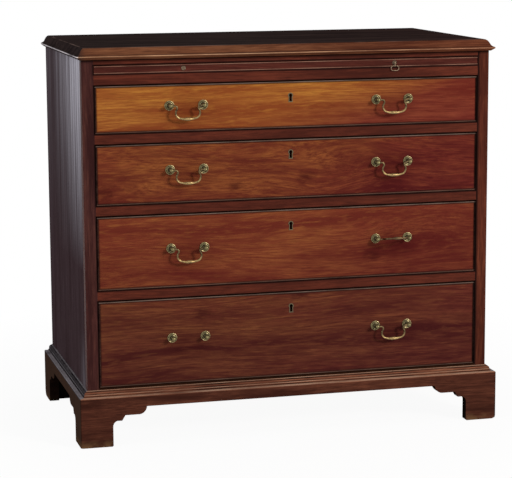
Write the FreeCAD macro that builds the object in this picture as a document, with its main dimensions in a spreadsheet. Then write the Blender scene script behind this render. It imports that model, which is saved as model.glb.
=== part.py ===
import FreeCAD, Part
import math
import os
import types
import Sketcher

# A mahogany dressing chest with a moulded top, a brushing slide, four graduated drawers and bracket feet.
# It stands on z = 0 and faces -Y, with the origin at the middle of its footprint.

# Driving sizes in millimetres and degrees.
SIZES = {
    # Carcass
    "carcase_width": 915,
    "carcase_depth": 490,
    "side_thick": 20,
    "stile_width": 26,
    "stile_depth": 20,
    "back_thick": 10,
    "back_rebate": 10,
    "back_gap": 1.2,
    "bottom_thick": 20,
    "rail_depth": 60,
    "rail_height": 22,
    "top_rail_height": 11.5,
    "slide_rail_height": 23.5,
    "slide_opening": 19,
    "opening_one": 104,
    "opening_two": 132,
    "opening_three": 162,
    "opening_four": 191,
    "dust_thick": 10,
    "housing_depth": 6,
    "tenon_length": 8,
    "tenon_set": 6,
    "tenon_width": 8,
    "tenon_shoulder": 3,
    "guide_height": 25,
    "kicker_width": 30,
    "stop_length": 40,
    "stop_depth": 12,
    "stop_height": 5,
    "stop_offset": 330,
    # Top board and its moulded edge, from the underside up
    "top_thick": 25,
    "top_overhang": 11.5,
    "lip_set": 8,
    "lip_rise": 2.5,
    "nose_radius": 2.5,
    "slope_width": 8,
    "slope_height": 5,
    "shelf_width": 1.6,
    "quirk_height": 1.3,
    "ovolo_width": 12,
    "ovolo_radius": 12.2,
    # Base moulding, from the top down, and the plinth under it
    "foot_height": 85,
    "plinth_height": 22,
    "bottom_reveal": 4,
    "base_projection": 19.5,
    "fillet_width": 2.5,
    "fillet_height": 1.5,
    "round_radius": 6,
    "band_height": 1.5,
    "cove_radius": 4.5,
    "arris_radius": 2,
    "moulding_foot": 0.5,
    # Bracket feet
    "facing_thick": 22,
    "foot_width": 71,
    "foot_edge_height": 44,
    "foot_cove_width": 9,
    "foot_cove_height": 12.5,
    "foot_cove_radius": 13,
    "foot_ledge": 11,
    "foot_slope_width": 7,
    "foot_slope_height": 11.5,
    "foot_flat": 30,
    "foot_round_width": 18,
    "foot_round_radius": 18,
    "foot_wear": 3,
    "worn_front_left": 4,
    "worn_front_right": 9,
    "worn_rear_left": 16,
    "worn_rear_right": 3,
    "block_width": 35,
    "rear_bracket_length": 120,
    "rear_bracket_thick": 18,
    # Drawers
    "side_gap": 1.5,
    "head_gap": 2.2,
    "sill_gap": 1,
    "run_gap": 0.3,
    "front_thick": 22,
    "lap_thick": 10,
    "bead_width": 3,
    "bead_depth": 10,
    "bead_proud": 1.8,
    "bead_nose": 1.3,
    "lining_thick": 10,
    "lining_drop": 3,
    "drawer_room": 25,
    "panel_thick": 8,
    "panel_rise": 9,
    "panel_groove": 4,
    "tail_pin": 3.5,
    "tail_flare": 2,
    # Locks and keyholes
    "lock_width": 64,
    "lock_height": 54,
    "lock_depth": 11,
    "lock_wall": 2,
    "selvage_width": 84,
    "selvage_thick": 2.2,
    "bolt_width": 34,
    "bolt_room": 1,
    "bolt_height": 20,
    "bolt_set": 2,
    "bolt_throw": 8,
    "bolt_gap": 0.3,
    "bolt_notch": 10,
    "mortise_gap": 1,
    "keyhole_drop_one": 30.3,
    "keyhole_drop_two": 27.8,
    "keyhole_drop_three": 31.3,
    "keyhole_drop_four": 31.3,
    "keyhole_radius": 3.9,
    "keyhole_length": 13,
    "keyhole_foot": 3,
    "keyhole_turn": 45,
    "escutcheon_wall": 1.7,
    "escutcheon_thick": 4,
    "escutcheon_proud": 0.6,
    # Bail handles on posts and roses
    "handle_offset": 232,
    "handle_centres": 74,
    "handle_drop_one": 47,
    "handle_drop_two": 59,
    "handle_drop_three": 76,
    "handle_drop_four": 89,
    "rose_radius": 10.6,
    "rose_rim": 1.2,
    "rose_lip": 1.6,
    "rose_height": 4.5,
    "rose_shoulder": 6.8,
    "rose_shoulder_height": 3.3,
    "collar_radius": 4.2,
    "collar_height": 1.5,
    "neck_radius": 2.9,
    "neck_taper": 2.5,
    "ball_radius": 5,
    "ball_turn": 35,
    "post_reach": 17,
    "shank_radius": 2.4,
    "shank_gap": 0.1,
    "shank_tail": 2,
    "nut_radius": 6.5,
    "nut_thick": 4,
    "bail_wire": 2.1,
    "bail_fit": 0.06,
    "bail_end": 2.5,
    "bail_set": 13.5,
    "bail_neck_radius": 5,
    "bail_belly_radius": 12.2,
    "bail_swing": 35,
    "bail_bow": 10,
    "bail_swell": 3.5,
    "swell_half": 14,
    "swell_flat": 4,
    "swell_tip": 1.5,
    "bail_raised": 101,
    # Brushing slide and its pulls
    "slide_room": 40,
    "slide_side_gap": 1,
    "slide_head_gap": 1.5,
    "cleat_width": 60,
    "tongue_length": 8,
    "tongue_thick": 6,
    "lip_depth": 12,
    "lip_bead": 3,
    "lip_bead_proud": 1.2,
    "slide_stop_height": 12,
    "pull_offset": 237,
    "rosette_radius": 5.2,
    "rosette_crest": 3.8,
    "rosette_height": 1.8,
    "rosette_edge": 2.2,
    "rosette_well": 2.4,
    "rosette_floor": 0.7,
    "spike_radius": 1.9,
    "spike_length": 10,
    "eye_reach": 3.5,
    "eye_drop": 6.8,
    "eye_radius": 1.9,
    "eye_turn": 35,
    "stem_radius": 1.5,
    "stem_head": 1.3,
    "ring_wire": 0.9,
    "ring_width": 17.7,
    "ring_height": 10.2,
}

# Counts: back boards, and dovetails in each drawer's corners.
BACK_BOARDS = 5
TAILS = {"one": 3, "two": 4, "three": 5, "four": 6}
DRAWERS = ("four", "three", "two", "one")

doc = FreeCAD.newDocument("DressingChest")
sheet = doc.addObject("Spreadsheet::Sheet", "Sizes")
for row, (alias, number) in enumerate(SIZES.items(), start=1):
    sheet.set(f"A{row}", alias)
    sheet.set(f"B{row}", str(number))
    sheet.setAlias(f"B{row}", alias)
doc.recompute()


class Size:
    """A length or angle: its number now, and the expression that ties it to the sheet."""

    def __init__(self, value, text):
        self.value = value
        self.text = text

    def __add__(self, other):
        other = as_size(other)
        return Size(self.value + other.value, f"({self.text} + {other.text})")

    def __sub__(self, other):
        other = as_size(other)
        return Size(self.value - other.value, f"({self.text} - {other.text})")

    def __rsub__(self, other):
        return as_size(other) - self

    def __mul__(self, other):
        other = as_size(other)
        return Size(self.value * other.value, f"({self.text} * {other.text})")

    def __truediv__(self, other):
        other = as_size(other)
        return Size(self.value / other.value, f"({self.text} / {other.text})")

    def __neg__(self):
        return Size(-self.value, f"(0 - {self.text})")

    __radd__ = __add__
    __rmul__ = __mul__


def as_size(value):
    return value if isinstance(value, Size) else Size(float(value), f"({value})")


def sine(angle):
    return Size(math.sin(math.radians(angle.value)), f"sin({angle.text})")


def cosine(angle):
    return Size(math.cos(math.radians(angle.value)), f"cos({angle.text})")


def swell_radius(half_chord, rise):
    """The radius of an arc that rises this much over a chord of twice half_chord."""
    return (half_chord * half_chord + rise * rise) / (2 * rise)


s = types.SimpleNamespace(**{alias: Size(float(sheet.get(alias)), f"Sizes.{alias}") for alias in SIZES})
NODES = []


def node(label, thing):
    """Name a finished sub-part. The label also names its file."""
    thing.Label = label
    NODES.append(thing)
    return thing


def bind(thing, path, size):
    thing.setExpression(path, as_size(size).text)


def place(thing, corner, turn_axis=None, turn_angle=0):
    if turn_axis:
        thing.Placement = FreeCAD.Placement(FreeCAD.Vector(), FreeCAD.Rotation(turn_axis, turn_angle))
    for axis, size in zip("xyz", corner):
        bind(thing, f"Placement.Base.{axis}", size)
    return thing


def box(name, size, corner):
    """A board with its lowest corner at corner."""
    thing = doc.addObject("Part::Box", name)
    for prop, length in zip(("Length", "Width", "Height"), size):
        bind(thing, prop, length)
    return place(thing, corner)


def drilled(name, radius, length, start):
    """A rod along +Y, used to bore holes."""
    thing = doc.addObject("Part::Cylinder", name)
    bind(thing, "Radius", radius)
    bind(thing, "Height", length)
    return place(thing, start, FreeCAD.Vector(1, 0, 0), -90)


def fuse(name, pieces):
    thing = doc.addObject("Part::MultiFuse", name)
    thing.Shapes = pieces
    return thing


def cut(name, base, cutters):
    thing = doc.addObject("Part::Cut", name)
    thing.Base = base
    thing.Tool = cutters[0] if len(cutters) == 1 else fuse(f"{name}_cutters", cutters)
    return thing


def group(name, pieces, corner=None, turn_axis=None, turn_angle=0):
    """Separate solids kept together, or one piece set in another place."""
    thing = doc.addObject("Part::Compound", name)
    thing.Links = pieces
    return place(thing, corner, turn_axis, turn_angle) if corner else thing


def new_body(name, corner=(0, 0, 0), turn_axis=None, turn_angle=0):
    return place(doc.addObject("PartDesign::Body", name), corner, turn_axis, turn_angle)


def new_sketch(body, role, offset=None):
    """A sketch on one of the body's own origin planes, moved by offset (across, up, out)."""
    sketch = body.newObject("Sketcher::SketchObject", f"{body.Name}_sketch")
    sketch.AttachmentSupport = [(next(f for f in body.Origin.OriginFeatures if f.Role == role), "")]
    sketch.MapMode = "FlatFace"
    for axis, size in zip("xyz", offset or ()):
        bind(sketch, f"AttachmentOffset.Base.{axis}", size)
    return sketch


def pin(sketch, index, end, point):
    """Hold one end of an edge at its place from the sketch origin."""
    for kind, size in zip(("DistanceX", "DistanceY"), point):
        size = as_size(size)
        number = sketch.addConstraint(Sketcher.Constraint(kind, -1, 1, index, end, size.value))
        bind(sketch, f"Constraints[{number}]", size)


def arc_edge(start, end, radius, turn):
    """The short arc from start to end that turns left or right as it goes."""
    chord = end - start
    side = 1 if turn == "left" else -1
    radius = max(radius, chord.Length / 2)
    rise = math.sqrt(max(radius**2 - chord.Length**2 / 4, 0))
    across = FreeCAD.Vector(-chord.y, chord.x, 0).normalize()
    centre = (start + end) / 2 + across * rise * side
    first, last = (start, end) if turn == "left" else (end, start)
    angles = [math.atan2(p.y - centre.y, p.x - centre.x) for p in (first, last)]
    return Part.ArcOfCircle(Part.Circle(centre, FreeCAD.Vector(0, 0, 1), radius), *angles)


def trace(sketch, points, closed=True):
    """Draw edges through points. A point (x, y, radius, turn) is reached by an arc, any other by a line."""
    here = points[0]
    last_end = None
    first_end = None
    for point in points[1:] + (points[:1] if closed else []):
        start, end = (FreeCAD.Vector(as_size(p[0]).value, as_size(p[1]).value, 0) for p in (here, point))
        ends = (1, 2)
        if len(point) == 4:
            index = sketch.addGeometry(arc_edge(start, end, point[2].value, point[3]), False)
            number = sketch.addConstraint(Sketcher.Constraint("Radius", index, point[2].value))
            bind(sketch, f"Constraints[{number}]", point[2])
            ends = (1, 2) if point[3] == "left" else (2, 1)
        else:
            index = sketch.addGeometry(Part.LineSegment(start, end), False)
        pin(sketch, index, ends[0], here[:2])
        if last_end:
            sketch.addConstraint(Sketcher.Constraint("Coincident", *last_end, index, ends[0]))
        first_end = first_end or (index, ends[0])
        last_end = (index, ends[1])
        here = point
    if closed:
        sketch.addConstraint(Sketcher.Constraint("Coincident", *last_end, *first_end))
    else:
        pin(sketch, *last_end, here[:2])


def circle(sketch, radius, centre=(0, 0)):
    middle = FreeCAD.Vector(as_size(centre[0]).value, as_size(centre[1]).value, 0)
    index = sketch.addGeometry(Part.Circle(middle, FreeCAD.Vector(0, 0, 1), radius.value), False)
    pin(sketch, index, 3, centre)
    number = sketch.addConstraint(Sketcher.Constraint("Radius", index, radius.value))
    bind(sketch, f"Constraints[{number}]", radius)


def mirrored(points):
    """The same outline with left and right exchanged."""
    swap = {"left": "right", "right": "left"}
    return [(-as_size(p[0]), p[1]) + ((p[2], swap[p[3]]) if len(p) == 4 else ()) for p in points]


def pad(body, sketch, length, reverse=False, middle=False):
    feature = body.newObject("PartDesign::Pad", f"{body.Name}_pad")
    feature.Profile = sketch
    feature.Reversed = reverse
    feature.SideType = "Symmetric" if middle else "One side"
    bind(feature, "Length", length)
    return feature


def pocket(body, sketch):
    """Cut the sketch right through, both ways."""
    feature = body.newObject("PartDesign::Pocket", f"{body.Name}_pocket")
    feature.Profile = sketch
    feature.SideType = "Symmetric"
    feature.Type = "ThroughAll"
    return feature


def revolve(body, sketch, axis):
    feature = body.newObject("PartDesign::Revolution", f"{body.Name}_turning")
    feature.Profile = sketch
    feature.ReferenceAxis = (sketch, [axis])
    feature.Angle = 360
    return feature


def repeat_up(body, feature, count, pitch):
    """Repeat a feature up the body's Z axis."""
    pattern = body.newObject("PartDesign::LinearPattern", f"{body.Name}_row")
    pattern.Originals = [feature]
    pattern.Direction = (next(f for f in body.Origin.OriginFeatures if f.Role == "Z_Axis"), [""])
    pattern.Mode = "Spacing"
    pattern.Occurrences = count
    bind(pattern, "Offset", pitch)
    body.Tip = pattern
    return pattern


# Shared levels and lines. CUT_OVER is how far a cutter passes the wood it cuts.
CUT_OVER = 5
half = s.carcase_width / 2
inner = half - s.side_thick
opening_half = half - s.stile_width
corner_half = half + s.base_projection
carcase_foot = s.foot_height + s.plinth_height
moulding_height = (s.fillet_height + s.round_radius + s.band_height + s.cove_radius + s.arris_radius
                   + s.moulding_foot)
moulding_top = carcase_foot + moulding_height
openings = {word: getattr(s, f"opening_{word}") for word in DRAWERS}
floors = {}
heads = {}
level = moulding_top + s.bottom_reveal
for word in DRAWERS:
    floors[word] = level
    heads[word] = level + openings[word]
    level = heads[word] + s.rail_height
slide_floor = heads["one"] + s.slide_rail_height
slide_head = slide_floor + s.slide_opening
top_under = slide_head + s.top_rail_height
drawer_depth = s.carcase_depth - s.back_thick - s.drawer_room
slide_depth = s.carcase_depth - s.back_thick - s.slide_room
bolt_thick = s.lock_depth - s.lock_wall - s.bolt_set - s.bolt_room

# Bail line: a straight end, a neck arc, a belly arc and a shallow bow across the bottom.
bail_turn = 90 - s.bail_bow
bail_bend = s.handle_centres / 2 - s.bail_set + s.bail_neck_radius
neck_x = bail_bend - s.bail_neck_radius * cosine(s.bail_swing)
neck_z = -s.bail_neck_radius * (1 + sine(s.bail_swing))
belly_x = neck_x - s.bail_belly_radius * (cosine(s.bail_swing) - cosine(bail_turn))
belly_z = neck_z - s.bail_belly_radius * (sine(s.bail_swing) + sine(bail_turn))
bow_radius = belly_x / sine(s.bail_bow)
bail_drop = bow_radius * (1 - cosine(s.bail_bow)) - belly_z

# The raised bail reaches furthest forward, and the footprint is measured to it.
reach = s.post_reach + bail_drop * sine(s.bail_raised) + s.bail_swell
front = (reach - s.carcase_depth) / 2
back = front + s.carcase_depth
rail_back = front + s.rail_depth
back_face = back - s.back_thick
dust_levels = [floors["three"], floors["two"], floors["one"], slide_floor]


def make_top():
    """The top board: its end outline run front to back, then the front edge cut to the same moulding."""
    shelf = s.nose_radius + s.slope_width
    step = shelf + s.shelf_width
    ledge = s.lip_rise + 2 * s.nose_radius + s.slope_height
    # Distances in from the lip and up from the underside.
    edge = [
        (s.lip_set, as_size(0)),
        (s.nose_radius, s.lip_rise),
        (as_size(0), s.lip_rise + s.nose_radius, s.nose_radius, "left"),
        (s.nose_radius, s.lip_rise + 2 * s.nose_radius, s.nose_radius, "left"),
        (shelf, ledge),
        (step, ledge),
        (step, ledge + s.quirk_height),
        (step + s.ovolo_width, s.top_thick, s.ovolo_radius, "left"),
    ]
    body = new_body("top", (0, front - s.top_overhang, top_under))
    lip_half = half + s.top_overhang
    right = [(lip_half - p[0],) + p[1:] for p in edge]
    down = [(p[0] - lip_half, p[1]) for p in edge[::-1]]
    left = [down[0]]
    for point, above in zip(down[1:], edge[::-1]):
        left.append(point + above[2:])
    sketch = new_sketch(body, "XZ_Plane")
    trace(sketch, right + left)
    pad(body, sketch, s.carcase_depth + s.top_overhang, reverse=True)
    swap = {"left": "right"}
    cutter = [p[:2] + ((p[2], swap[p[3]]) if len(p) == 4 else ()) for p in edge]
    crown = s.top_thick + CUT_OVER
    sketch = new_sketch(body, "YZ_Plane")
    trace(sketch, [(s.lip_set, as_size(-CUT_OVER))] + cutter + [
        (step + s.ovolo_width, crown),
        (as_size(-CUT_OVER), crown),
        (as_size(-CUT_OVER), as_size(-CUT_OVER)),
    ])
    pocket(body, sketch)
    return node("top", body)


def make_sides():
    """Two side boards, housed for the dustboards and bottom, and rebated for the back boards."""
    for label, sign in (("left_side", -1), ("right_side", 1)):
        def from_inside(depth):
            return inner if sign > 0 else -inner - depth

        height = top_under - carcase_foot
        board = box(f"{label}_board", (s.side_thick, s.carcase_depth - s.stile_depth, height),
                    (from_inside(s.side_thick), front + s.stile_depth, carcase_foot))
        cutters = [box(f"{label}_rebate", (s.back_rebate, s.back_thick, height),
                       (from_inside(s.back_rebate), back_face, carcase_foot))]
        cutters.append(box(f"{label}_foot",
                           (s.housing_depth, back_face - front - s.stile_depth, s.bottom_thick),
                           (from_inside(s.housing_depth), front + s.stile_depth, carcase_foot)))
        for dust_top in dust_levels:
            cutters.append(box(f"{label}_housing", (s.housing_depth, back_face - rail_back, s.dust_thick),
                               (from_inside(s.housing_depth), rail_back, dust_top - s.dust_thick)))
        node(label, cut(label, board, cutters))


def make_rails():
    """Rails tenoned into the front stiles. Each rail over a drawer is mortised for the lock bolt."""
    spans = [("top_rail", slide_head, s.top_rail_height, False)]
    spans.append(("slide_rail", heads["one"], s.slide_rail_height, True))
    for word in ("two", "three", "four"):
        spans.append((f"rail_over_{word}", heads[word], s.rail_height, True))
    tenons = []
    rails = []
    bolt_y = front + s.front_thick - s.lock_depth + s.bolt_set
    for name, bottom, height, locked in spans:
        board = box(f"{name}_board", (2 * opening_half, s.rail_depth, height),
                    (-opening_half, front, bottom))
        ends = [box(f"{name}_tenon", (s.tenon_length, s.tenon_width, height - 2 * s.tenon_shoulder),
                    (x, front + s.tenon_set, bottom + s.tenon_shoulder))
                for x in (-opening_half - s.tenon_length, opening_half)]
        tenons += ends
        rail = fuse(f"{name}_tenoned", [board] + ends)
        if locked:
            room = s.mortise_gap
            mortise = box(f"{name}_mortise",
                          (s.bolt_width + 2 * room, bolt_thick + 2 * room, s.bolt_throw),
                          (-s.bolt_width / 2 - room, bolt_y - room, bottom))
            rail = cut(f"{name}_mortised", rail, [mortise])
        rails.append(rail)
    node("top_rail", rails[0])
    node("slide_rail", rails[1])
    node("drawer_rails", group("drawer_rails", rails[2:]))
    stiles = []
    for x in (-half, opening_half):
        stile = box("stile_strip", (s.stile_width, s.stile_depth, top_under - carcase_foot),
                    (x, front, carcase_foot))
        stiles.append(cut("stile", stile, tenons))
    node("front_stiles", group("front_stiles", stiles))


def make_boards():
    """Bottom board, dustboards and back boards."""
    housed = inner + s.housing_depth
    plank = box("bottom_plank", (2 * housed, back_face - front, s.bottom_thick),
                (-housed, front, carcase_foot))
    notches = [box("bottom_notch", (housed - opening_half, s.stile_depth, s.bottom_thick),
                   (x, front, carcase_foot)) for x in (-housed, opening_half)]
    node("bottom_board", cut("bottom_board", plank, notches))
    dust = [box("dustboard", (2 * housed, back_face - rail_back, s.dust_thick),
                (-housed, rail_back, dust_top - s.dust_thick)) for dust_top in dust_levels]
    node("dustboards", group("dustboards", dust))
    back_half = half - s.back_rebate
    board_width = (2 * back_half - (BACK_BOARDS - 1) * s.back_gap) / BACK_BOARDS
    boards = [box("back_board", (board_width, s.back_thick, top_under - carcase_foot),
                  (number * (board_width + s.back_gap) - back_half, back_face, carcase_foot))
              for number in range(BACK_BOARDS)]
    node("back_boards", group("back_boards", boards))


def make_guides():
    """Guides behind the stiles, kickers over the slide, and stops for the drawers and the slide."""
    guides = []
    stops = []
    run_back = front + s.stile_depth
    tracks = [(floors[word], s.guide_height) for word in DRAWERS] + [(slide_floor, s.slide_opening)]
    for bottom, height in tracks:
        for x in (-inner, opening_half):
            guides.append(box("guide", (inner - opening_half, back_face - run_back, height),
                              (x, run_back, bottom)))
    for x in (-inner, opening_half - s.kicker_width):
        kicker = (inner - opening_half + s.kicker_width, back_face - rail_back, s.top_rail_height)
        guides.append(box("kicker", kicker, (x, rail_back, slide_head)))
    for x in (-s.stop_offset, s.stop_offset):
        for word in DRAWERS:
            stops.append(box("drawer_stop", (s.stop_length, s.stop_depth, s.stop_height),
                             (x - s.stop_length / 2, front + s.front_thick, floors[word])))
        stops.append(box("slide_stop", (s.stop_length, s.stop_depth, s.slide_stop_height),
                         (x - s.stop_length / 2, front + slide_depth, slide_floor)))
    node("drawer_guides", group("drawer_guides", guides))
    node("drawer_stops", group("drawer_stops", stops))


def make_base_moulding():
    """Three lengths of base moulding, mitred at the front corners."""
    proud = s.base_projection
    first = s.fillet_width + s.round_radius
    drop = s.fillet_height + s.round_radius
    second = drop + s.band_height + s.cove_radius
    # Distances out from the carcass and up from the bottom of the moulding.
    height = moulding_height
    section = [
        (as_size(0), as_size(0)),
        (proud, as_size(0)),
        (proud, height - second - s.arris_radius),
        (proud - s.arris_radius, height - second, s.arris_radius, "left"),
        (first + s.cove_radius, height - second),
        (first, height - second + s.cove_radius, s.cove_radius, "right"),
        (first, height - drop),
        (s.fillet_width, height - s.fillet_height, s.round_radius, "left"),
        (s.fillet_width, height),
        (as_size(0), height),
    ]
    over = as_size(CUT_OVER)
    lengths = []
    body = new_body("moulding_front", (0, front, carcase_foot))
    sketch = new_sketch(body, "YZ_Plane")
    trace(sketch, mirrored(section))
    pad(body, sketch, 2 * corner_half, middle=True)
    mitre = [(half - over, over), (corner_half + over, -proud - over), (corner_half + over, over)]
    sketch = new_sketch(body, "XY_Plane")
    trace(sketch, mitre)
    trace(sketch, mirrored(mitre))
    pocket(body, sketch)
    lengths.append(body)
    for name, sign in (("moulding_left", -1), ("moulding_right", 1)):
        body = new_body(name, (sign * half, front - proud, carcase_foot))
        sketch = new_sketch(body, "XZ_Plane")
        trace(sketch, section if sign > 0 else mirrored(section))
        pad(body, sketch, s.carcase_depth + proud, reverse=True)
        mitre = [(-over, proud + over), (proud + over, -over), (-over, -over)]
        sketch = new_sketch(body, "XY_Plane")
        trace(sketch, mitre if sign > 0 else mirrored(mitre))
        pocket(body, sketch)
        lengths.append(body)
    node("base_moulding", group("base_moulding", lengths))


foot_length = (s.foot_width + s.foot_cove_width + s.foot_ledge + s.foot_slope_width + s.foot_flat
               + s.foot_round_width)


def foot_outline(worn):
    """A bracket facing, measured along from its outer corner, which is worn round, and up from the floor."""
    ledge = s.foot_edge_height + s.foot_cove_height
    flat = ledge + s.foot_slope_height
    cove_end = s.foot_width + s.foot_cove_width
    slope_end = cove_end + s.foot_ledge + s.foot_slope_width
    return [
        (worn, as_size(0), worn, "left"),
        (s.foot_width - s.foot_wear, as_size(0)),
        (s.foot_width, s.foot_wear, s.foot_wear, "left"),
        (s.foot_width, s.foot_edge_height),
        (cove_end, ledge, s.foot_cove_radius, "right"),
        (cove_end + s.foot_ledge, ledge),
        (slope_end, flat),
        (slope_end + s.foot_flat, flat),
        (foot_length, s.foot_height, s.foot_round_radius, "left"),
        (foot_length, carcase_foot),
        (as_size(0), carcase_foot),
        (as_size(0), worn),
    ]


def make_feet():
    """Four bracket feet. Front feet are two mitred facings, rear feet a facing and a plain rear bracket."""
    thick = s.facing_thick
    over = as_size(CUT_OVER)
    blocks = []
    for hand, sign in (("left", -1), ("right", 1)):
        corner = sign * corner_half
        outline = foot_outline(getattr(s, f"worn_front_{hand}"))

        def inward(points):
            return points if sign < 0 else mirrored(points)

        facing = new_body(f"foot_front_{hand}_face", (corner, front - s.base_projection, 0))
        sketch = new_sketch(facing, "XZ_Plane")
        trace(sketch, inward(outline))
        pad(facing, sketch, thick, reverse=True)
        sketch = new_sketch(facing, "XY_Plane")
        trace(sketch, inward([(-over, -over), (thick + over, thick + over), (-over, thick + over)]))
        pocket(facing, sketch)

        flank = new_body(f"foot_front_{hand}_flank", (corner, front - s.base_projection, 0))
        sketch = new_sketch(flank, "YZ_Plane")
        trace(sketch, outline)
        pad(flank, sketch, thick, reverse=sign > 0)
        sketch = new_sketch(flank, "XY_Plane")
        trace(sketch, inward([(-over, -over), (thick + over, thick + over), (thick + over, -over)]))
        pocket(flank, sketch)
        node(f"foot_front_{hand}", group(f"foot_front_{hand}", [facing, flank]))

        rear = new_body(f"foot_rear_{hand}_flank", (corner, back, 0))
        sketch = new_sketch(rear, "YZ_Plane")
        trace(sketch, mirrored(foot_outline(getattr(s, f"worn_rear_{hand}"))))
        pad(rear, sketch, thick, reverse=sign > 0)

        bracket = new_body(f"foot_rear_{hand}_bracket", (corner, back, 0))
        sketch = new_sketch(bracket, "XZ_Plane")
        trace(sketch, inward([
            (thick, as_size(0)),
            (s.foot_width, as_size(0)),
            (s.rear_bracket_length, s.foot_height),
            (s.rear_bracket_length, carcase_foot),
            (thick, carcase_foot),
        ]))
        pad(bracket, sketch, s.rear_bracket_thick)
        node(f"foot_rear_{hand}", group(f"foot_rear_{hand}", [rear, bracket]))

        block_x = corner + thick if sign < 0 else corner - thick - s.block_width
        for y in (front - s.base_projection + thick, back - s.rear_bracket_thick - s.block_width):
            blocks.append(box("foot_block", (s.block_width, s.block_width, carcase_foot), (block_x, y, 0)))
    node("foot_blocks", group("foot_blocks", blocks))


def make_plinth():
    """Plain strips under the base moulding, flush with the feet and running between them."""
    depth = s.carcase_depth + s.base_projection - 2 * foot_length
    reach_half = corner_half - foot_length
    front_y = front - s.base_projection
    strips = [box("plinth_front", (2 * reach_half, s.facing_thick, s.plinth_height),
                  (-reach_half, front_y, s.foot_height))]
    for x in (-corner_half, corner_half - s.facing_thick):
        strips.append(box("plinth_end", (s.facing_thick, depth, s.plinth_height),
                          (x, front_y + foot_length, s.foot_height)))
    node("plinth", group("plinth", strips))


def bead_strip(name, length, corner, turn_angle):
    """One length of cock bead with a rounded nose, mitred at both ends, its outer edge along local X."""
    width = s.bead_width
    over = as_size(CUT_OVER)
    depth = s.bead_depth - s.bead_proud
    neck = s.bead_nose - s.bead_proud
    body = new_body(name, corner, FreeCAD.Vector(0, 1, 0), turn_angle)
    sketch = new_sketch(body, "YZ_Plane")
    trace(sketch, [
        (depth, as_size(0)),
        (depth, width),
        (neck, width),
        (neck, as_size(0), swell_radius(width / 2, s.bead_nose), "left"),
    ])
    pad(body, sketch, length)
    sketch = new_sketch(body, "XZ_Plane")
    near = [(-over, -over), (width + over, width + over), (-over, width + over)]
    trace(sketch, near)
    trace(sketch, [(length - p[0], p[1]) for p in near])
    pocket(body, sketch)
    return body


def keyhole_points(grow):
    """A keyhole outline about the centre of its round, grown outwards."""
    radius = s.keyhole_radius + grow
    slot_x = radius * sine(s.keyhole_turn)
    slot_z = -radius * cosine(s.keyhole_turn)
    foot_x = s.keyhole_foot + grow
    foot_z = -s.keyhole_length - grow
    return [
        (-foot_x, foot_z),
        (foot_x, foot_z),
        (slot_x, slot_z),
        (as_size(0), radius, radius, "left"),
        (-slot_x, slot_z, radius, "left"),
    ]


def make_keyhole_pieces():
    """The brass escutcheon, and the cutter for its seat and the keyhole behind it."""
    escutcheon = new_body("escutcheon", (0, 0, 0))
    sketch = new_sketch(escutcheon, "XZ_Plane", (0, 0, s.escutcheon_proud))
    trace(sketch, keyhole_points(s.escutcheon_wall))
    trace(sketch, keyhole_points(as_size(0)))
    pad(escutcheon, sketch, s.escutcheon_thick, reverse=True)
    cutter = new_body("keyhole_cutter", (0, 0, 0))
    sketch = new_sketch(cutter, "XZ_Plane", (0, 0, s.escutcheon_proud))
    trace(sketch, keyhole_points(s.escutcheon_wall))
    pad(cutter, sketch, s.escutcheon_thick, reverse=True)
    sketch = new_sketch(cutter, "XZ_Plane")
    trace(sketch, keyhole_points(as_size(0)))
    pad(cutter, sketch, s.front_thick - s.lock_depth + s.lock_wall, reverse=True)
    return escutcheon, cutter


def turned(name, points):
    """A piece turned about the Y axis. Points are radius and distance out from the drawer face."""
    body = new_body(name)
    sketch = new_sketch(body, "XY_Plane")
    trace(sketch, [(p[0], -as_size(p[1])) + p[2:] for p in points])
    revolve(body, sketch, "V_Axis")
    return body


def make_post_set():
    """One handle fixing: a domed rose, a ball-headed post bored for the bail, and the nut inside."""
    hole = s.shank_radius + s.shank_gap
    rose = turned("rose", [
        (hole, as_size(0)),
        (s.rose_radius, as_size(0)),
        (s.rose_radius, s.rose_rim),
        (s.rose_radius - s.rose_lip, s.rose_rim),
        (s.rose_shoulder, s.rose_shoulder_height),
        (s.collar_radius, s.rose_height),
        (hole, s.rose_height),
    ])
    collar_top = s.rose_height + s.collar_height
    ball_foot = s.post_reach - s.ball_radius * cosine(s.ball_turn)
    post = turned("post", [
        (as_size(0), -(s.front_thick + s.nut_thick + s.shank_tail)),
        (s.shank_radius, -(s.front_thick + s.nut_thick + s.shank_tail)),
        (s.shank_radius, s.rose_height),
        (s.collar_radius, s.rose_height),
        (s.collar_radius, collar_top),
        (s.neck_radius, collar_top + s.neck_taper),
        (s.ball_radius * sine(s.ball_turn), ball_foot),
        (as_size(0), s.post_reach + s.ball_radius, s.ball_radius, "right"),
    ])
    sketch = new_sketch(post, "YZ_Plane")
    circle(sketch, s.bail_wire + s.bail_fit, (-s.post_reach, as_size(0)))
    pocket(post, sketch)
    nut = turned("nut", [
        (hole, -s.front_thick),
        (s.nut_radius, -s.front_thick),
        (s.nut_radius, -(s.front_thick + s.nut_thick)),
        (hole, -(s.front_thick + s.nut_thick)),
    ])
    return [rose, post, nut]


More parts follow.
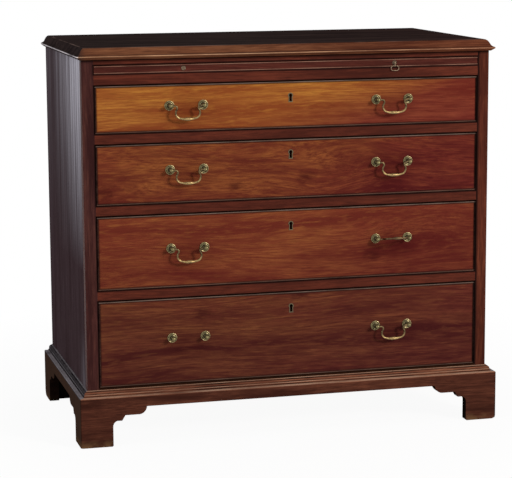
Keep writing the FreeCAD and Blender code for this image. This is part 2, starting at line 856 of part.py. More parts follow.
def make_bail():
    """The swan-neck bail, hanging from its pivot line along X, with a swelling in the middle of its grip."""
    bail = new_body("bail")
    start = s.handle_centres / 2 + s.bail_end
    side = [
        (start, as_size(0)),
        (bail_bend, as_size(0)),
        (neck_x, neck_z, s.bail_neck_radius, "left"),
        (belly_x, belly_z, s.bail_belly_radius, "right"),
    ]
    spine = new_sketch(bail, "XZ_Plane")
    trace(spine, side + [
        (-belly_x, belly_z, bow_radius, "right"),
        (-neck_x, neck_z, s.bail_belly_radius, "right"),
        (-bail_bend, as_size(0), s.bail_neck_radius, "left"),
        (-start, as_size(0)),
    ], closed=False)
    section = new_sketch(bail, "YZ_Plane", (0, 0, start))
    circle(section, s.bail_wire)
    doc.recompute()
    pipe = bail.newObject("PartDesign::AdditivePipe", "bail_pipe")
    pipe.Profile = section
    pipe.Spine = (spine, [f"Edge{number}" for number in range(1, len(spine.Shape.Edges) + 1)])
    swell = new_sketch(bail, "XZ_Plane", (0, -bail_drop, 0))
    trace(swell, [
        (-s.swell_half, as_size(0)),
        (s.swell_half, as_size(0)),
        (s.swell_half, s.swell_tip),
        (s.swell_flat, s.bail_swell),
        (-s.swell_flat, s.bail_swell),
        (-s.swell_half, s.swell_tip),
    ])
    revolve(bail, swell, "H_Axis")
    return bail


def make_drawer(word, number, post_set, bail, escutcheon, keyhole_cutter):
    """One drawer: front, dovetailed linings, bottom, cock bead, lock with its bolt, brasses and bails."""
    name = f"drawer_{number}"
    floor = floors[word]
    sill = floor + s.sill_gap
    head = heads[word] - s.head_gap
    edge = opening_half - s.side_gap
    run = floor + s.run_gap
    side_height = head - s.lining_drop - run
    face_back = front + s.front_thick
    rear = front + drawer_depth
    panel_bottom = run + s.panel_rise

    panel = box(f"{name}_panel", (2 * (edge - s.lining_thick + s.panel_groove),
                                  drawer_depth - s.front_thick + s.panel_groove, s.panel_thick),
                (-(edge - s.lining_thick + s.panel_groove), face_back - s.panel_groove, panel_bottom))

    side_length = drawer_depth - s.front_thick - s.lining_thick
    pitch = side_height / TAILS[word]
    tip = (pitch - s.tail_pin) / 2
    root = tip - s.tail_flare
    blanks = []
    for hand, sign in (("left", -1), ("right", 1)):
        side = new_body(f"{name}_{hand}_lining", (sign * edge, face_back, run))
        sketch = new_sketch(side, "YZ_Plane")
        trace(sketch, [(as_size(0), as_size(0)), (side_length, as_size(0)),
                       (side_length, side_height), (as_size(0), side_height)])
        pad(side, sketch, s.lining_thick, reverse=sign > 0)
        tail_ends = [(as_size(0), s.lap_thick - s.front_thick), (side_length, side_length + s.lining_thick)]
        for shoulder, end in tail_ends:
            sketch = new_sketch(side, "YZ_Plane")
            trace(sketch, [(shoulder, pitch / 2 - root), (end, pitch / 2 - tip),
                           (end, pitch / 2 + tip), (shoulder, pitch / 2 + root)])
            tail = pad(side, sketch, s.lining_thick, reverse=sign > 0)
            repeat_up(side, tail, TAILS[word], pitch)
        blanks.append(side)
    panel_top = panel_bottom + s.panel_thick
    back_plank = box(f"{name}_back_plank", (2 * edge, s.lining_thick, run + side_height - panel_top),
                     (-edge, rear - s.lining_thick, panel_top))
    linings = [cut(f"{name}_lining", side, [panel]) for side in blanks]
    linings.append(cut(f"{name}_back", back_plank, blanks))

    beads = [
        bead_strip(f"{name}_bead_sill", 2 * edge, (-edge, front, sill), 0),
        bead_strip(f"{name}_bead_head", 2 * edge, (edge, front, head), 180),
        bead_strip(f"{name}_bead_left", head - sill, (-edge, front, head), 90),
        bead_strip(f"{name}_bead_right", head - sill, (edge, front, sill), -90),
    ]

    lock_y = face_back - s.lock_depth
    case = box(f"{name}_lock_case", (s.lock_width, s.lock_depth, s.lock_height - s.selvage_thick),
               (-s.lock_width / 2, lock_y, head - s.lock_height))
    selvage = box(f"{name}_selvage", (s.selvage_width, s.lock_depth, s.selvage_thick),
                  (-s.selvage_width / 2, lock_y, head - s.selvage_thick))
    cavity = box(f"{name}_lock_cavity",
                 (s.lock_width - 2 * s.lock_wall, s.lock_depth - s.lock_wall,
                  s.lock_height - s.selvage_thick - s.lock_wall),
                 (s.lock_wall - s.lock_width / 2, lock_y, head - s.lock_height + s.lock_wall))
    gap = s.bolt_gap
    slot = box(f"{name}_bolt_slot", (s.bolt_width + 2 * gap, bolt_thick + 2 * gap, s.selvage_thick),
               (-s.bolt_width / 2 - gap, lock_y + s.bolt_set - gap, head - s.selvage_thick))
    lock = cut(f"{name}_lock", fuse(f"{name}_lock_blank", [case, selvage]), [cavity, slot])
    bolt_bar = box(f"{name}_bolt_bar", (s.bolt_width, bolt_thick, s.bolt_height),
                   (-s.bolt_width / 2, lock_y + s.bolt_set, head - s.bolt_height))
    notch = box(f"{name}_bolt_notch", (s.bolt_notch, bolt_thick, s.bolt_notch / 2),
                (-s.bolt_notch / 2, lock_y + s.bolt_set, head - s.bolt_height))

    key_z = head - getattr(s, f"keyhole_drop_{word}")
    keyhole = group(f"{name}_keyhole", [keyhole_cutter], (0, front, key_z))
    handle_z = heads[word] - getattr(s, f"handle_drop_{word}")
    handle_spots = {"left": -s.handle_offset, "right": s.handle_offset}
    posts = []
    holes = []
    for middle in handle_spots.values():
        for x in (middle - s.handle_centres / 2, middle + s.handle_centres / 2):
            posts.append(group(f"{name}_post_set", post_set, (x, front, handle_z)))
            holes.append(drilled(f"{name}_post_hole", s.shank_radius + s.shank_gap, s.front_thick,
                                 (x, front, handle_z)))
    plank = box(f"{name}_plank", (2 * edge, s.front_thick, head - sill), (-edge, front, sill))
    fascia = cut(f"{name}_front", plank, blanks + beads + holes + [panel, case, selvage, keyhole])

    node(f"{name}_front", fascia)
    node(f"{name}_linings", group(f"{name}_linings", linings))
    node(f"{name}_bottom", panel)
    node(f"{name}_beading", group(f"{name}_beading", beads))
    plate = group(f"{name}_escutcheon", [escutcheon], (0, front, key_z))
    node(f"{name}_brasses", group(f"{name}_brasses", posts + [plate]))
    node(f"{name}_lock", lock)
    node(f"{name}_bolt", cut(f"{name}_bolt", bolt_bar, [notch]))
    pivot_y = front - s.post_reach
    for hand, middle in handle_spots.items():
        if (word, hand) == ("four", "left"):
            # This bail is missing from the object: its posts stand bare.
            continue
        raised = s.bail_raised.value if (word, hand) == ("three", "right") else 0
        node(f"{name}_{hand}_bail", group(f"{name}_{hand}_bail", [bail], (middle, pivot_y, handle_z),
                                          FreeCAD.Vector(-1, 0, 0), raised))


def make_drawers():
    post_set = make_post_set()
    bail = make_bail()
    escutcheon, keyhole_cutter = make_keyhole_pieces()
    for number, word in enumerate(reversed(DRAWERS), start=1):
        make_drawer(word, number, post_set, bail, escutcheon, keyhole_cutter)


def make_slide():
    """The brushing slide: a board with clamped ends, a beaded front lip, two rosettes and one ring."""
    thick = s.slide_opening - s.run_gap - s.slide_head_gap
    edge = opening_half - s.slide_side_gap
    bottom = slide_floor + s.run_gap
    board_half = edge - s.cleat_width
    depth = slide_depth - s.lip_depth
    lip_back = front + s.lip_depth
    plank = box("slide_plank", (2 * board_half, depth, thick), (-board_half, lip_back, bottom))
    tongue_half = board_half + s.tongue_length
    tongue = box("slide_tongue", (2 * tongue_half, depth, s.tongue_thick),
                 (-tongue_half, lip_back, bottom + (thick - s.tongue_thick) / 2))
    cleat_boards = [box("slide_cleat_board", (s.cleat_width, depth, thick), (x, lip_back, bottom))
                    for x in (-edge, board_half)]
    cleats = [cut("slide_cleat", board, [tongue]) for board in cleat_boards]
    lip = new_body("slide_lip_strip", (0, front, bottom))
    sketch = new_sketch(lip, "YZ_Plane")
    nose = swell_radius(s.lip_bead / 2, s.lip_bead_proud)
    trace(sketch, [
        (s.lip_depth, as_size(0)),
        (s.lip_depth, thick),
        (as_size(0), thick),
        (as_size(0), thick - s.lip_bead, nose, "left"),
        (as_size(0), s.lip_bead),
        (as_size(0), as_size(0), nose, "left"),
    ])
    pad(lip, sketch, 2 * edge, middle=True)

    rosette = turned("rosette", [
        (as_size(0), -s.spike_length),
        (s.spike_radius, -s.spike_length),
        (s.spike_radius, as_size(0)),
        (s.rosette_radius, as_size(0)),
        (s.rosette_crest, s.rosette_height, s.rosette_edge, "right"),
        (s.rosette_well, s.rosette_floor),
        (as_size(0), s.rosette_floor),
    ])
    # A link hangs from a headed stem and ends in an eye, bored for the ring.
    link = new_body("pull_link")
    sketch = new_sketch(link, "XZ_Plane", (0, 0, s.eye_reach))
    link_radius = s.eye_radius * sine(s.eye_turn)
    trace(sketch, [
        (as_size(0), as_size(0)),
        (as_size(0), -s.eye_drop - s.eye_radius),
        (link_radius, s.eye_radius * cosine(s.eye_turn) - s.eye_drop, s.eye_radius, "left"),
        (link_radius, as_size(0)),
    ])
    revolve(link, sketch, "V_Axis")
    sketch = new_sketch(link, "YZ_Plane")
    circle(sketch, s.ring_wire + s.bail_fit, (-s.eye_reach, -s.eye_drop))
    pocket(link, sketch)
    stem = drilled("pull_stem", s.stem_radius, s.eye_reach + s.stem_head, (0, -s.eye_reach - s.stem_head, 0))
    # The left pull has lost its stem, link and ring.
    pull_z = bottom + thick / 2
    fixings = [(-s.pull_offset, rosette), (s.pull_offset, fuse("ring_pull", [rosette, stem, link]))]
    pulls = [group("slide_pull", [piece], (x, front, pull_z)) for x, piece in fixings]
    holes = [drilled("slide_pull_hole", s.spike_radius + s.shank_gap, s.spike_length, (x, front, pull_z))
             for x, piece in fixings]

    ring = new_body("slide_ring_loop")
    bend = s.ring_height / 2
    flat = s.ring_width / 2 - bend
    spine = new_sketch(ring, "XZ_Plane")
    trace(spine, [
        (flat, as_size(0), bend, "left"),
        (-flat, as_size(0)),
        (-flat - bend, -bend, bend, "left"),
        (-flat, -2 * bend, bend, "left"),
        (flat, -2 * bend),
        (flat + bend, -bend, bend, "left"),
    ])
    section = new_sketch(ring, "YZ_Plane", (0, 0, flat))
    circle(section, s.ring_wire)
    doc.recompute()
    pipe = ring.newObject("PartDesign::AdditivePipe", "ring_pipe")
    pipe.Profile = section
    pipe.Spine = (spine, [f"Edge{number}" for number in range(1, len(spine.Shape.Edges) + 1)])

    node("slide_board", fuse("slide_board", [plank, tongue]))
    node("slide_cleats", group("slide_cleats", cleats))
    node("slide_lip", cut("slide_lip_drilled", lip, holes))
    node("slide_roses", group("slide_roses", pulls))
    node("slide_ring", group("slide_ring", [ring],
                             (s.pull_offset, front - s.eye_reach, pull_z - s.eye_drop)))


def write_parts():
    """Check every object, then write one file for each sub-part."""
    doc.recompute()
    for thing in doc.Objects:
        if {"Invalid", "Error"} & set(thing.State):
            raise RuntimeError(f"{thing.Name} failed: {thing.State}")
    for thing in NODES:
        shape = thing.Shape
        if shape.isNull() or not shape.isValid() or not shape.Solids:
            raise RuntimeError(f"{thing.Label} has no sound solid")
    os.makedirs("parts", exist_ok=True)
    for thing in NODES:
        solids = thing.Shape.Solids
        shape = solids[0] if len(solids) == 1 else Part.makeCompound(solids)
        shape.exportStep(f"parts/{thing.Label}.step")
    print(len(NODES), "sub-parts written")


make_top()
make_sides()
make_rails()
make_boards()
make_guides()
make_base_moulding()
make_plinth()
make_feet()
make_slide()
make_drawers()
write_parts()
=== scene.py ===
import math

import bmesh
import bpy
from mathutils import Matrix, Vector


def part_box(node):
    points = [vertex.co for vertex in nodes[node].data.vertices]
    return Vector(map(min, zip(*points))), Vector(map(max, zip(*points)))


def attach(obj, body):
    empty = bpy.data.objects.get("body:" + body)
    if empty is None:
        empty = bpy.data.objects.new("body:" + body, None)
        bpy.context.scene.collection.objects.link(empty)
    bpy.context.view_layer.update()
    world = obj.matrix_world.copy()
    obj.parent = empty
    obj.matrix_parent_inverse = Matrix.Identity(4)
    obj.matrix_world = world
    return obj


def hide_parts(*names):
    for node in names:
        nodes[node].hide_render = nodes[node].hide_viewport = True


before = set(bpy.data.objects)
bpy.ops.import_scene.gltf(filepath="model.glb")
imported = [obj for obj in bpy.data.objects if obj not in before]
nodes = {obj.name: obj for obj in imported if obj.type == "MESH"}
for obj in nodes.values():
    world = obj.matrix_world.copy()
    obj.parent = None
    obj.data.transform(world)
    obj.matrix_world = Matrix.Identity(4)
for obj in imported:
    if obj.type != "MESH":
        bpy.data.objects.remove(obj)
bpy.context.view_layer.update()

# Bracket feet: mahogany facings mitred at the front corners, sawn to a stepped outline and glued
# over softwood corner blocks, which carry the weight. The soles are scuffed and the edges rounded.


def tone(red, green, blue):
    """A colour as the eye reads it, 0 to 255, made ready for a shader."""
    shares = [value / 255 for value in (red, green, blue)]
    return [p / 12.92 if p <= 0.04045 else ((p + 0.055) / 1.055) ** 2.4 for p in shares] + [1]


def feed(tree, socket, value):
    """Give an input its value, or the socket that feeds it."""
    if isinstance(value, bpy.types.NodeSocket):
        tree.links.new(value, socket)
    else:
        socket.default_value = value


def add(tree, kind, inputs=None, **settings):
    """Place a node, set it and feed its inputs."""
    node = tree.nodes.new(kind)
    for name, value in settings.items():
        setattr(node, name, value)
    for name, value in (inputs or {}).items():
        feed(tree, node.inputs[name], value)
    return node


def new_group(name, inputs, outputs):
    """A node group with its named sockets, and its two end nodes."""
    tree = bpy.data.node_groups.new(name, "ShaderNodeTree")
    for label, kind in inputs.items():
        tree.interface.new_socket(label, in_out="INPUT", socket_type=f"NodeSocket{kind}")
    for label, kind in outputs.items():
        tree.interface.new_socket(label, in_out="OUTPUT", socket_type=f"NodeSocket{kind}")
    return tree, tree.nodes.new("NodeGroupInput").outputs, tree.nodes.new("NodeGroupOutput").inputs


def noise(tree, vector, stretch, detail=3.0, rough=0.55):
    """Noise drawn out along one axis, in marks per metre."""
    mapped = add(tree, "ShaderNodeMapping", {"Vector": vector, "Scale": stretch}).outputs[0]
    inputs = {"Vector": mapped, "Scale": 1.0, "Detail": detail, "Roughness": rough}
    return add(tree, "ShaderNodeTexNoise", inputs).outputs["Fac"]


def span(tree, value, low, high, to_low=0.0, to_high=1.0):
    """Move a value from one range to another, held at both ends."""
    inputs = {"Value": value, "From Min": low, "From Max": high, "To Min": to_low, "To Max": to_high}
    return add(tree, "ShaderNodeMapRange", inputs).outputs[0]


def sums(tree, operation, first, second=0.0):
    """One step of arithmetic."""
    return add(tree, "ShaderNodeMath", {0: first, 1: second}, operation=operation).outputs[0]


def product(tree, first, *others):
    """Several values multiplied together."""
    for other in others:
        first = sums(tree, "MULTIPLY", first, other)
    return first


def vectors(tree, operation, first, second):
    """One step of arithmetic on two vectors."""
    return add(tree, "ShaderNodeVectorMath", {0: first, 1: second}, operation=operation).outputs[0]


def parts(tree, vector):
    """The three parts of a vector."""
    return add(tree, "ShaderNodeSeparateXYZ", {0: vector}).outputs


def mixed(tree, share, first, second, way="MIX"):
    """Two colours mixed by a share."""
    made = add(tree, "ShaderNodeMix", {0: share, 6: first, 7: second}, data_type="RGBA", blend_type=way)
    return made.outputs[2]


def place_of(tree):
    """Where the point being shaded lies, in the chest's own frame."""
    return add(tree, "ShaderNodeTexCoord").outputs["Object"]


def facing_of(tree):
    """The direction that the face being shaded looks in."""
    return add(tree, "ShaderNodeNewGeometry").outputs["True Normal"]


# Wood grain along local X: long streaks, flecks, fine lines, open pores and broad patches of brighter wood.
grain, given, result = new_group(
    "wood_grain",
    {"Vector": "Vector", "Deep": "Color", "Middle": "Color", "Bright": "Color", "Broad": "Float",
     "Pores": "Float", "Sway": "Float"},
    {"Color": "Color", "Roughness": "Float", "Height": "Float"},
)
waver = add(grain, "ShaderNodeMapping", {"Vector": given["Vector"], "Scale": (1.6, 5, 5)}).outputs[0]
waver = add(grain, "ShaderNodeTexNoise", {"Vector": waver, "Scale": 1.0, "Detail": 2.0}).outputs["Color"]
sway = vectors(grain, "SUBTRACT", waver, (0.5, 0.5, 0.5))
sway = add(grain, "ShaderNodeVectorMath", {0: sway, "Scale": given["Sway"]}, operation="SCALE").outputs[0]
swayed = vectors(grain, "ADD", given["Vector"], vectors(grain, "MULTIPLY", sway, (0, 1, 1)))
streaks = span(grain, noise(grain, swayed, (2.4, 32, 32), 5.0, 0.6), 0.36, 0.58)
lines = noise(grain, swayed, (5, 380, 380), 3.0, 0.6)
dashes = noise(grain, swayed, (17, 430, 430), 3.0, 0.65)
flecks = noise(grain, swayed, (24, 170, 170), 3.0, 0.6)
pores = span(grain, noise(grain, swayed, (38, 1700, 1700), 1.0), 0.58, 0.7)
broad = span(grain, noise(grain, swayed, (2.6, 9, 9), 4.0, 0.6), 0.4, 0.6)
smoke = span(grain, noise(grain, swayed, (9, 48, 48), 3.0), 0.52, 0.7)
wood = mixed(grain, streaks, given["Deep"], given["Middle"])
wood = mixed(grain, product(grain, broad, given["Broad"], streaks), wood, given["Bright"])
wood = mixed(grain, product(grain, smoke, 0.35), wood, given["Deep"])
flecked = product(grain, span(grain, flecks, 0.5, 0.68, 0.0, 0.7), given["Broad"])
wood = mixed(grain, flecked, wood, given["Bright"])
wood = mixed(grain, span(grain, flecks, 0.48, 0.32, 0.0, 0.4), wood, given["Deep"])
wood = mixed(grain, span(grain, lines, 0.36, 0.6, 0.5, 0.0), wood, given["Deep"])
wood = mixed(grain, span(grain, dashes, 0.34, 0.54, 0.75, 0.0), wood, given["Deep"])
pored = product(grain, pores, given["Pores"])
feed(grain, result["Color"], mixed(grain, product(grain, pored, 0.5), wood, tone(25, 16, 10)))
rough = sums(grain, "ADD", span(grain, lines, 0.2, 0.8, 0.36, 0.5), product(grain, pored, 0.15))
feed(grain, result["Roughness"], rough)
feed(grain, result["Height"], sums(grain, "SUBTRACT", product(grain, lines, 0.4), pored))

ALONG_X = (0, 0, 0)
ALONG_Y = (0, 0, math.radians(-90))
ALONG_Z = (0, math.radians(90), 0)
PORE_DEPTH = 0.0004


def new_finish(name):
    """A new material, its tree and its surface shader."""
    made = bpy.data.materials.new(name)
    made.use_nodes = True
    return made, made.node_tree, made.node_tree.nodes["Principled BSDF"]


def wood_finish(name, run, place, deep, middle, bright, broad=0.5, pores=0.6, sway=0.05, sheen=0.012):
    """A wood with its grain along run, and its figure taken from its own place in the log."""
    made, tree, surface = new_finish(name)
    turned = add(tree, "ShaderNodeMapping", {"Vector": place_of(tree), "Rotation": run, "Location": place})
    tones = {"Deep": tone(*deep), "Middle": tone(*middle), "Bright": tone(*bright)}
    inputs = {"Vector": turned.outputs[0], **tones, "Broad": broad, "Pores": pores, "Sway": sway}
    figure = add(tree, "ShaderNodeGroup", inputs, node_tree=grain).outputs
    bump = add(tree, "ShaderNodeBump", {"Height": figure["Height"], "Strength": 0.25, "Distance": PORE_DEPTH})
    feed(tree, surface.inputs["Base Color"], figure["Color"])
    feed(tree, surface.inputs["Roughness"], figure["Roughness"])
    feed(tree, surface.inputs["Normal"], bump.outputs[0])
    surface.inputs["Specular IOR Level"].default_value = sheen
    return made


def colour_of(finish):
    """The tree of a finish, the socket that feeds its colour now, and the socket that it feeds."""
    socket = finish.node_tree.nodes["Principled BSDF"].inputs["Base Color"]
    return finish.node_tree, socket.links[0].from_socket, socket


def new_effect(name, **inputs):
    """A group that works over a finish's colour, from where a point lies and what else is asked."""
    sockets = {"Vector": "Vector", "Color": "Color", **inputs}
    tree, given, result = new_group(name, sockets, {"Color": "Color"})
    return tree, given, result["Color"]


def worked(finish, effect, **values):
    """Lay an effect over a finish, with this finish's own values."""
    tree, colour, socket = colour_of(finish)
    inputs = {"Vector": place_of(tree), "Color": colour, **values}
    feed(tree, socket, add(tree, "ShaderNodeGroup", inputs, node_tree=effect).outputs["Color"])


def dress(node, finish):
    """Give a CAD node its finish."""
    materials = nodes[node].data.materials
    materials.clear()
    materials.append(finish)


# Painted shade on what looks left or right, and old polish gone black along the mitres beside it.
MITRE_START, MITRE_END = 0.4748, 0.4766
shaded_ends_and_mitres, given, out = new_effect("shaded_ends_and_mitres", Normal="Vector")
facing = parts(shaded_ends_and_mitres, given["Normal"])
across = sums(shaded_ends_and_mitres, "ABSOLUTE", parts(shaded_ends_and_mitres, given["Vector"])["X"])
end = span(shaded_ends_and_mitres, sums(shaded_ends_and_mitres, "ABSOLUTE", facing["X"]), 0.5, 0.75, 0.0, 0.85)
mitre = product(shaded_ends_and_mitres, span(shaded_ends_and_mitres, across, MITRE_START, MITRE_END, 0.0, 0.8),
                span(shaded_ends_and_mitres, facing["Y"], -0.5, -0.75))
# The painted shade on the ends.
colour = mixed(shaded_ends_and_mitres, end, given["Color"], tone(56, 43, 35))
feed(shaded_ends_and_mitres, out, mixed(shaded_ends_and_mitres, mitre, colour, tone(24, 14, 12)))

# A foot's polish is worn off along its sole.
sole_wear, given, out = new_effect("sole_wear")
patchy = span(sole_wear, noise(sole_wear, given["Vector"], (60, 60, 60), 4.0), 0.36, 0.62)
wear_and_light = span(sole_wear, parts(sole_wear, given["Vector"])["Z"], 0.018, 0.002, 0.0, 0.75)
feed(sole_wear, out, mixed(sole_wear, product(sole_wear, wear_and_light, patchy), given["Color"], tone(100, 74, 50)))

# Painted shade, nearly black, on edges that face down or inwards. On the rear feet, forwards is inwards too.
shaded_edges, given, out = new_effect("shaded_edges", Normal="Vector", Rear="Float")
facing = parts(shaded_edges, given["Normal"])
inwards = product(shaded_edges, facing["X"], parts(shaded_edges, given["Vector"])["X"])
edge_shade = sums(shaded_edges, "MAXIMUM", span(shaded_edges, inwards, -0.08, -0.16),
            span(shaded_edges, facing["Z"], -0.2, -0.4))
forwards = product(shaded_edges, span(shaded_edges, facing["Y"], -0.2, -0.4), given["Rear"])
edge_shade = product(shaded_edges, sums(shaded_edges, "MAXIMUM", edge_shade, forwards), 0.9)
feed(shaded_edges, out, mixed(shaded_edges, edge_shade, given["Color"], tone(12, 9, 8)))

for ends, rear in (("front", 0.0), ("rear", 1.0)):
    foot_wood = wood_finish(f"{ends}_foot_mahogany", ALONG_X, (0.2, 0.1, 0.3), (52, 27, 21), (84, 46, 35),
                            (102, 60, 44), sheen=0.0)
    facing = facing_of(foot_wood.node_tree)
    worked(foot_wood, shaded_ends_and_mitres, Normal=facing)
    worked(foot_wood, sole_wear)
    worked(foot_wood, shaded_edges, Normal=facing, Rear=rear)
    for hand in ("left", "right"):
        dress(f"foot_{ends}_{hand}", foot_wood)
# The softwood corner blocks are painted nearly black, as painted shade inside the feet.
block_wood = wood_finish("block_softwood", ALONG_Z, (0, 0, 0), (10, 8, 7), (20, 15, 12), (26, 19, 15),
                         sheen=0.0)
dress("foot_blocks", block_wood)

# Plinth and base moulding: mahogany strips between the feet, and over them a run moulding in three
# mitred lengths, glued and nailed round the carcass. Pale painted highlights lie along its arrises, and
# painted shade in its quirks.
plinth_wood = wood_finish("plinth_mahogany", ALONG_X, (0.2, 0.1, 0.3), (54, 28, 22), (90, 50, 38),
                          (110, 66, 48), sheen=0.0)
worked(plinth_wood, shaded_ends_and_mitres, Normal=facing_of(plinth_wood.node_tree))
dress("plinth", plinth_wood)


def along(tree, vector, direction):
    """How far a point lies along a direction."""
    made = add(tree, "ShaderNodeVectorMath", {0: vector, 1: direction}, operation="DOT_PRODUCT")
    return made.outputs["Value"]


def apart(tree, value, level):
    """How far a value lies from a level, either way."""
    return sums(tree, "ABSOLUTE", sums(tree, "SUBTRACT", value, level))


# A painted line at one height, kept within a limit along a side: a pale painted highlight along an arris or a
# bead, or painted shade in a quirk.
line_light_and_shade, given, out = new_effect("line_light_and_shade", Level="Float", Half="Float", Worn="Color", Strength="Float",
                                   Side="Vector", Limit="Float")
away = apart(line_light_and_shade, parts(line_light_and_shade, given["Vector"])["Z"], given["Level"])
line = span(line_light_and_shade, away, product(line_light_and_shade, given["Half"], 0.4), given["Half"], 1.0, 0.0)
proud = sums(line_light_and_shade, "LESS_THAN", along(line_light_and_shade, given["Vector"], given["Side"]), given["Limit"])
patchy = span(line_light_and_shade, noise(line_light_and_shade, given["Vector"], (14, 14, 4), 4.0), 0.3, 0.62, 0.25, 1.0)
wear_and_light = product(line_light_and_shade, line, proud, patchy, given["Strength"])
feed(line_light_and_shade, out, mixed(line_light_and_shade, wear_and_light, given["Color"], given["Worn"]))


def painted_line(finish, level, half, wear_and_light, strength, side=(0, 0, 0), limit=1.0):
    """Paint a line of highlight or shade into a finish at one height. With no side given, it goes all round.
    """
    worked(finish, line_light_and_shade, Level=level, Half=half, Worn=tone(*wear_and_light), Strength=strength, Side=side,
           Limit=limit)


base_wood = wood_finish("base_mahogany", ALONG_X, (0.7, 0.4, 0.1), (76, 42, 32), (130, 82, 61),
                        (150, 100, 75), sheen=0.0)
worked(base_wood, shaded_ends_and_mitres, Normal=facing_of(base_wood.node_tree))
MOULDING_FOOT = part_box("base_moulding")[0][2]
# Painted shade in its three quirks, and pale painted highlights along its three arrises.
for quirk in (0.0041, 0.0092, 0.0139):
    painted_line(base_wood, MOULDING_FOOT + quirk, 0.0012, (20, 10, 8), 0.95)
for arris in (0.0023, 0.0072, 0.0154):
    painted_line(base_wood, MOULDING_FOOT + arris, 0.0009, (176, 142, 120), 0.8)
# The two lengths along the sides, past the mitres, are painted grey and darker, as painted sheen and painted
# shade.
MITRE_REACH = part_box("right_side")[1][0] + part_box("front_stiles")[0][1]
tree, colour, socket = colour_of(base_wood)
x, y, z = parts(tree, place_of(tree))
end = sums(tree, "GREATER_THAN", sums(tree, "ADD", sums(tree, "ABSOLUTE", x), y), MITRE_REACH)
colour = mixed(tree, product(tree, end, 0.75), colour, (0.5, 0.5, 0.5, 1), "SATURATION")
feed(tree, socket, mixed(tree, end, colour, mixed(tree, 1.0, colour, (0.7, 0.7, 0.78, 1), "MULTIPLY")))
dress("base_moulding", base_wood)

# Carcass sides: wide mahogany boards with upright grain, housed for the dustboards. They are dark, under a
# painted sheen of grey streaks, most of all high on the front edge, where the light strikes.
tint, given, out = new_effect("tint_along", Direction="Vector", Start="Float", End="Float", Tint="Color")
share = span(tint, along(tint, given["Vector"], given["Direction"]), given["Start"], given["End"])
full = mixed(tint, 1.0, given["Color"], given["Tint"], "MULTIPLY")
feed(tint, out, mixed(tint, share, given["Color"], full))


def tinted(finish, direction, start, end, colour):
    """Turn a finish towards a tint along a direction: 1, 1, 1 leaves it as it is."""
    worked(finish, tint, Direction=direction, Start=start, End=end, Tint=(*colour, 1))


side_wood = wood_finish("side_mahogany", ALONG_Z, (0.1, 0.6, 0.2), (52, 39, 41), (65, 51, 54), (73, 60, 64),
                        sheen=0.0)
tinted(side_wood, (1, 0, 0), -0.1, 0.1, (1.25, 0.92, 0.74))
tree, colour, socket = colour_of(side_wood)
here = place_of(tree)
x, y, z = parts(tree, here)
# The painted sheen: grey streaks high up and near the front edge, weaker on the right side.
high = product(tree, span(tree, z, 0.38, 0.84), span(tree, y, 0.16, -0.19, 0.16, 1.7))
edge = product(tree, span(tree, y, -0.12, -0.19), span(tree, z, 0.25, 0.13, 0.0, 0.3))
painted_sheen = product(tree, sums(tree, "MAXIMUM", high, edge), span(tree, x, -0.1, 0.1, 1.0, 0.4))
for marks, least in ((36, 0.4), (95, 0.25), (420, 0.25)):
    streaks = noise(tree, here, (marks, marks, 1.5), 4.0, 0.7)
    painted_sheen = product(tree, painted_sheen, span(tree, streaks, 0.36, 0.6, least, 1.0))
feed(tree, socket, mixed(tree, painted_sheen, colour, tone(192, 189, 198)))
for side in ("left_side", "right_side"):
    dress(side, side_wood)

# Front stiles and rails: mahogany facings, the rails tenoned into the stiles. Painted shade, with old wax
# and dirt, darkens the edges of every opening, and a line of painted shade runs down the inner edge of the
# right stile.
SLIDE_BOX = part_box("slide_lip")
DRAWER_BOXES = {number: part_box(f"drawer_{number}_beading") for number in (1, 2, 3, 4)}

# How far a point lies outside a rectangle seen from the front. Inside, it is less than nothing.
edge_reach, given, result = new_group("edge_reach", {"Vector": "Vector", "Low": "Vector", "High": "Vector"},
                                      {"Distance": "Float"})
both = vectors(edge_reach, "ADD", given["Low"], given["High"])
middle = vectors(edge_reach, "MULTIPLY", both, (0.5, 0.5, 0.5))
half = vectors(edge_reach, "SUBTRACT", given["High"], middle)
away = vectors(edge_reach, "ABSOLUTE", vectors(edge_reach, "SUBTRACT", given["Vector"], middle), (0, 0, 0))
past = parts(edge_reach, vectors(edge_reach, "SUBTRACT", away, half))
feed(edge_reach, result["Distance"], sums(edge_reach, "MAXIMUM", past["X"], past["Z"]))


def past_edge(tree, vector, low, high):
    """Place the reach past a rectangle's edge in a tree."""
    inputs = {"Vector": vector, "Low": low, "High": high}
    return add(tree, "ShaderNodeGroup", inputs, node_tree=edge_reach).outputs["Distance"]


# Painted shade in the gaps, with old wax and dirt, along the edges of every opening.
opening_shade_and_dirt, given, out = new_effect("opening_shade_and_dirt")
nearest = past_edge(opening_shade_and_dirt, given["Vector"], *SLIDE_BOX)
for box in DRAWER_BOXES.values():
    nearest = sums(opening_shade_and_dirt, "MINIMUM", nearest, past_edge(opening_shade_and_dirt, given["Vector"], *box))
shade_and_dirt = span(opening_shade_and_dirt, nearest, 0.0022, 0.0042, 0.88, 0.0)
feed(opening_shade_and_dirt, out, mixed(opening_shade_and_dirt, shade_and_dirt, given["Color"], tone(20, 10, 9)))

RIGHT_GAP_EDGE = 0.4335
UNDER_TOP = 0.8285
stile_wood = wood_finish("stile_mahogany", ALONG_Z, (0.3, 0.2, 0.5), (56, 24, 18), (92, 44, 33),
                         (108, 58, 38))
tinted(stile_wood, (1, 0, 0), 0.1, -0.1, (0.73, 1.0, 1.5))
tree, colour, socket = colour_of(stile_wood)
x = parts(tree, place_of(tree))["X"]
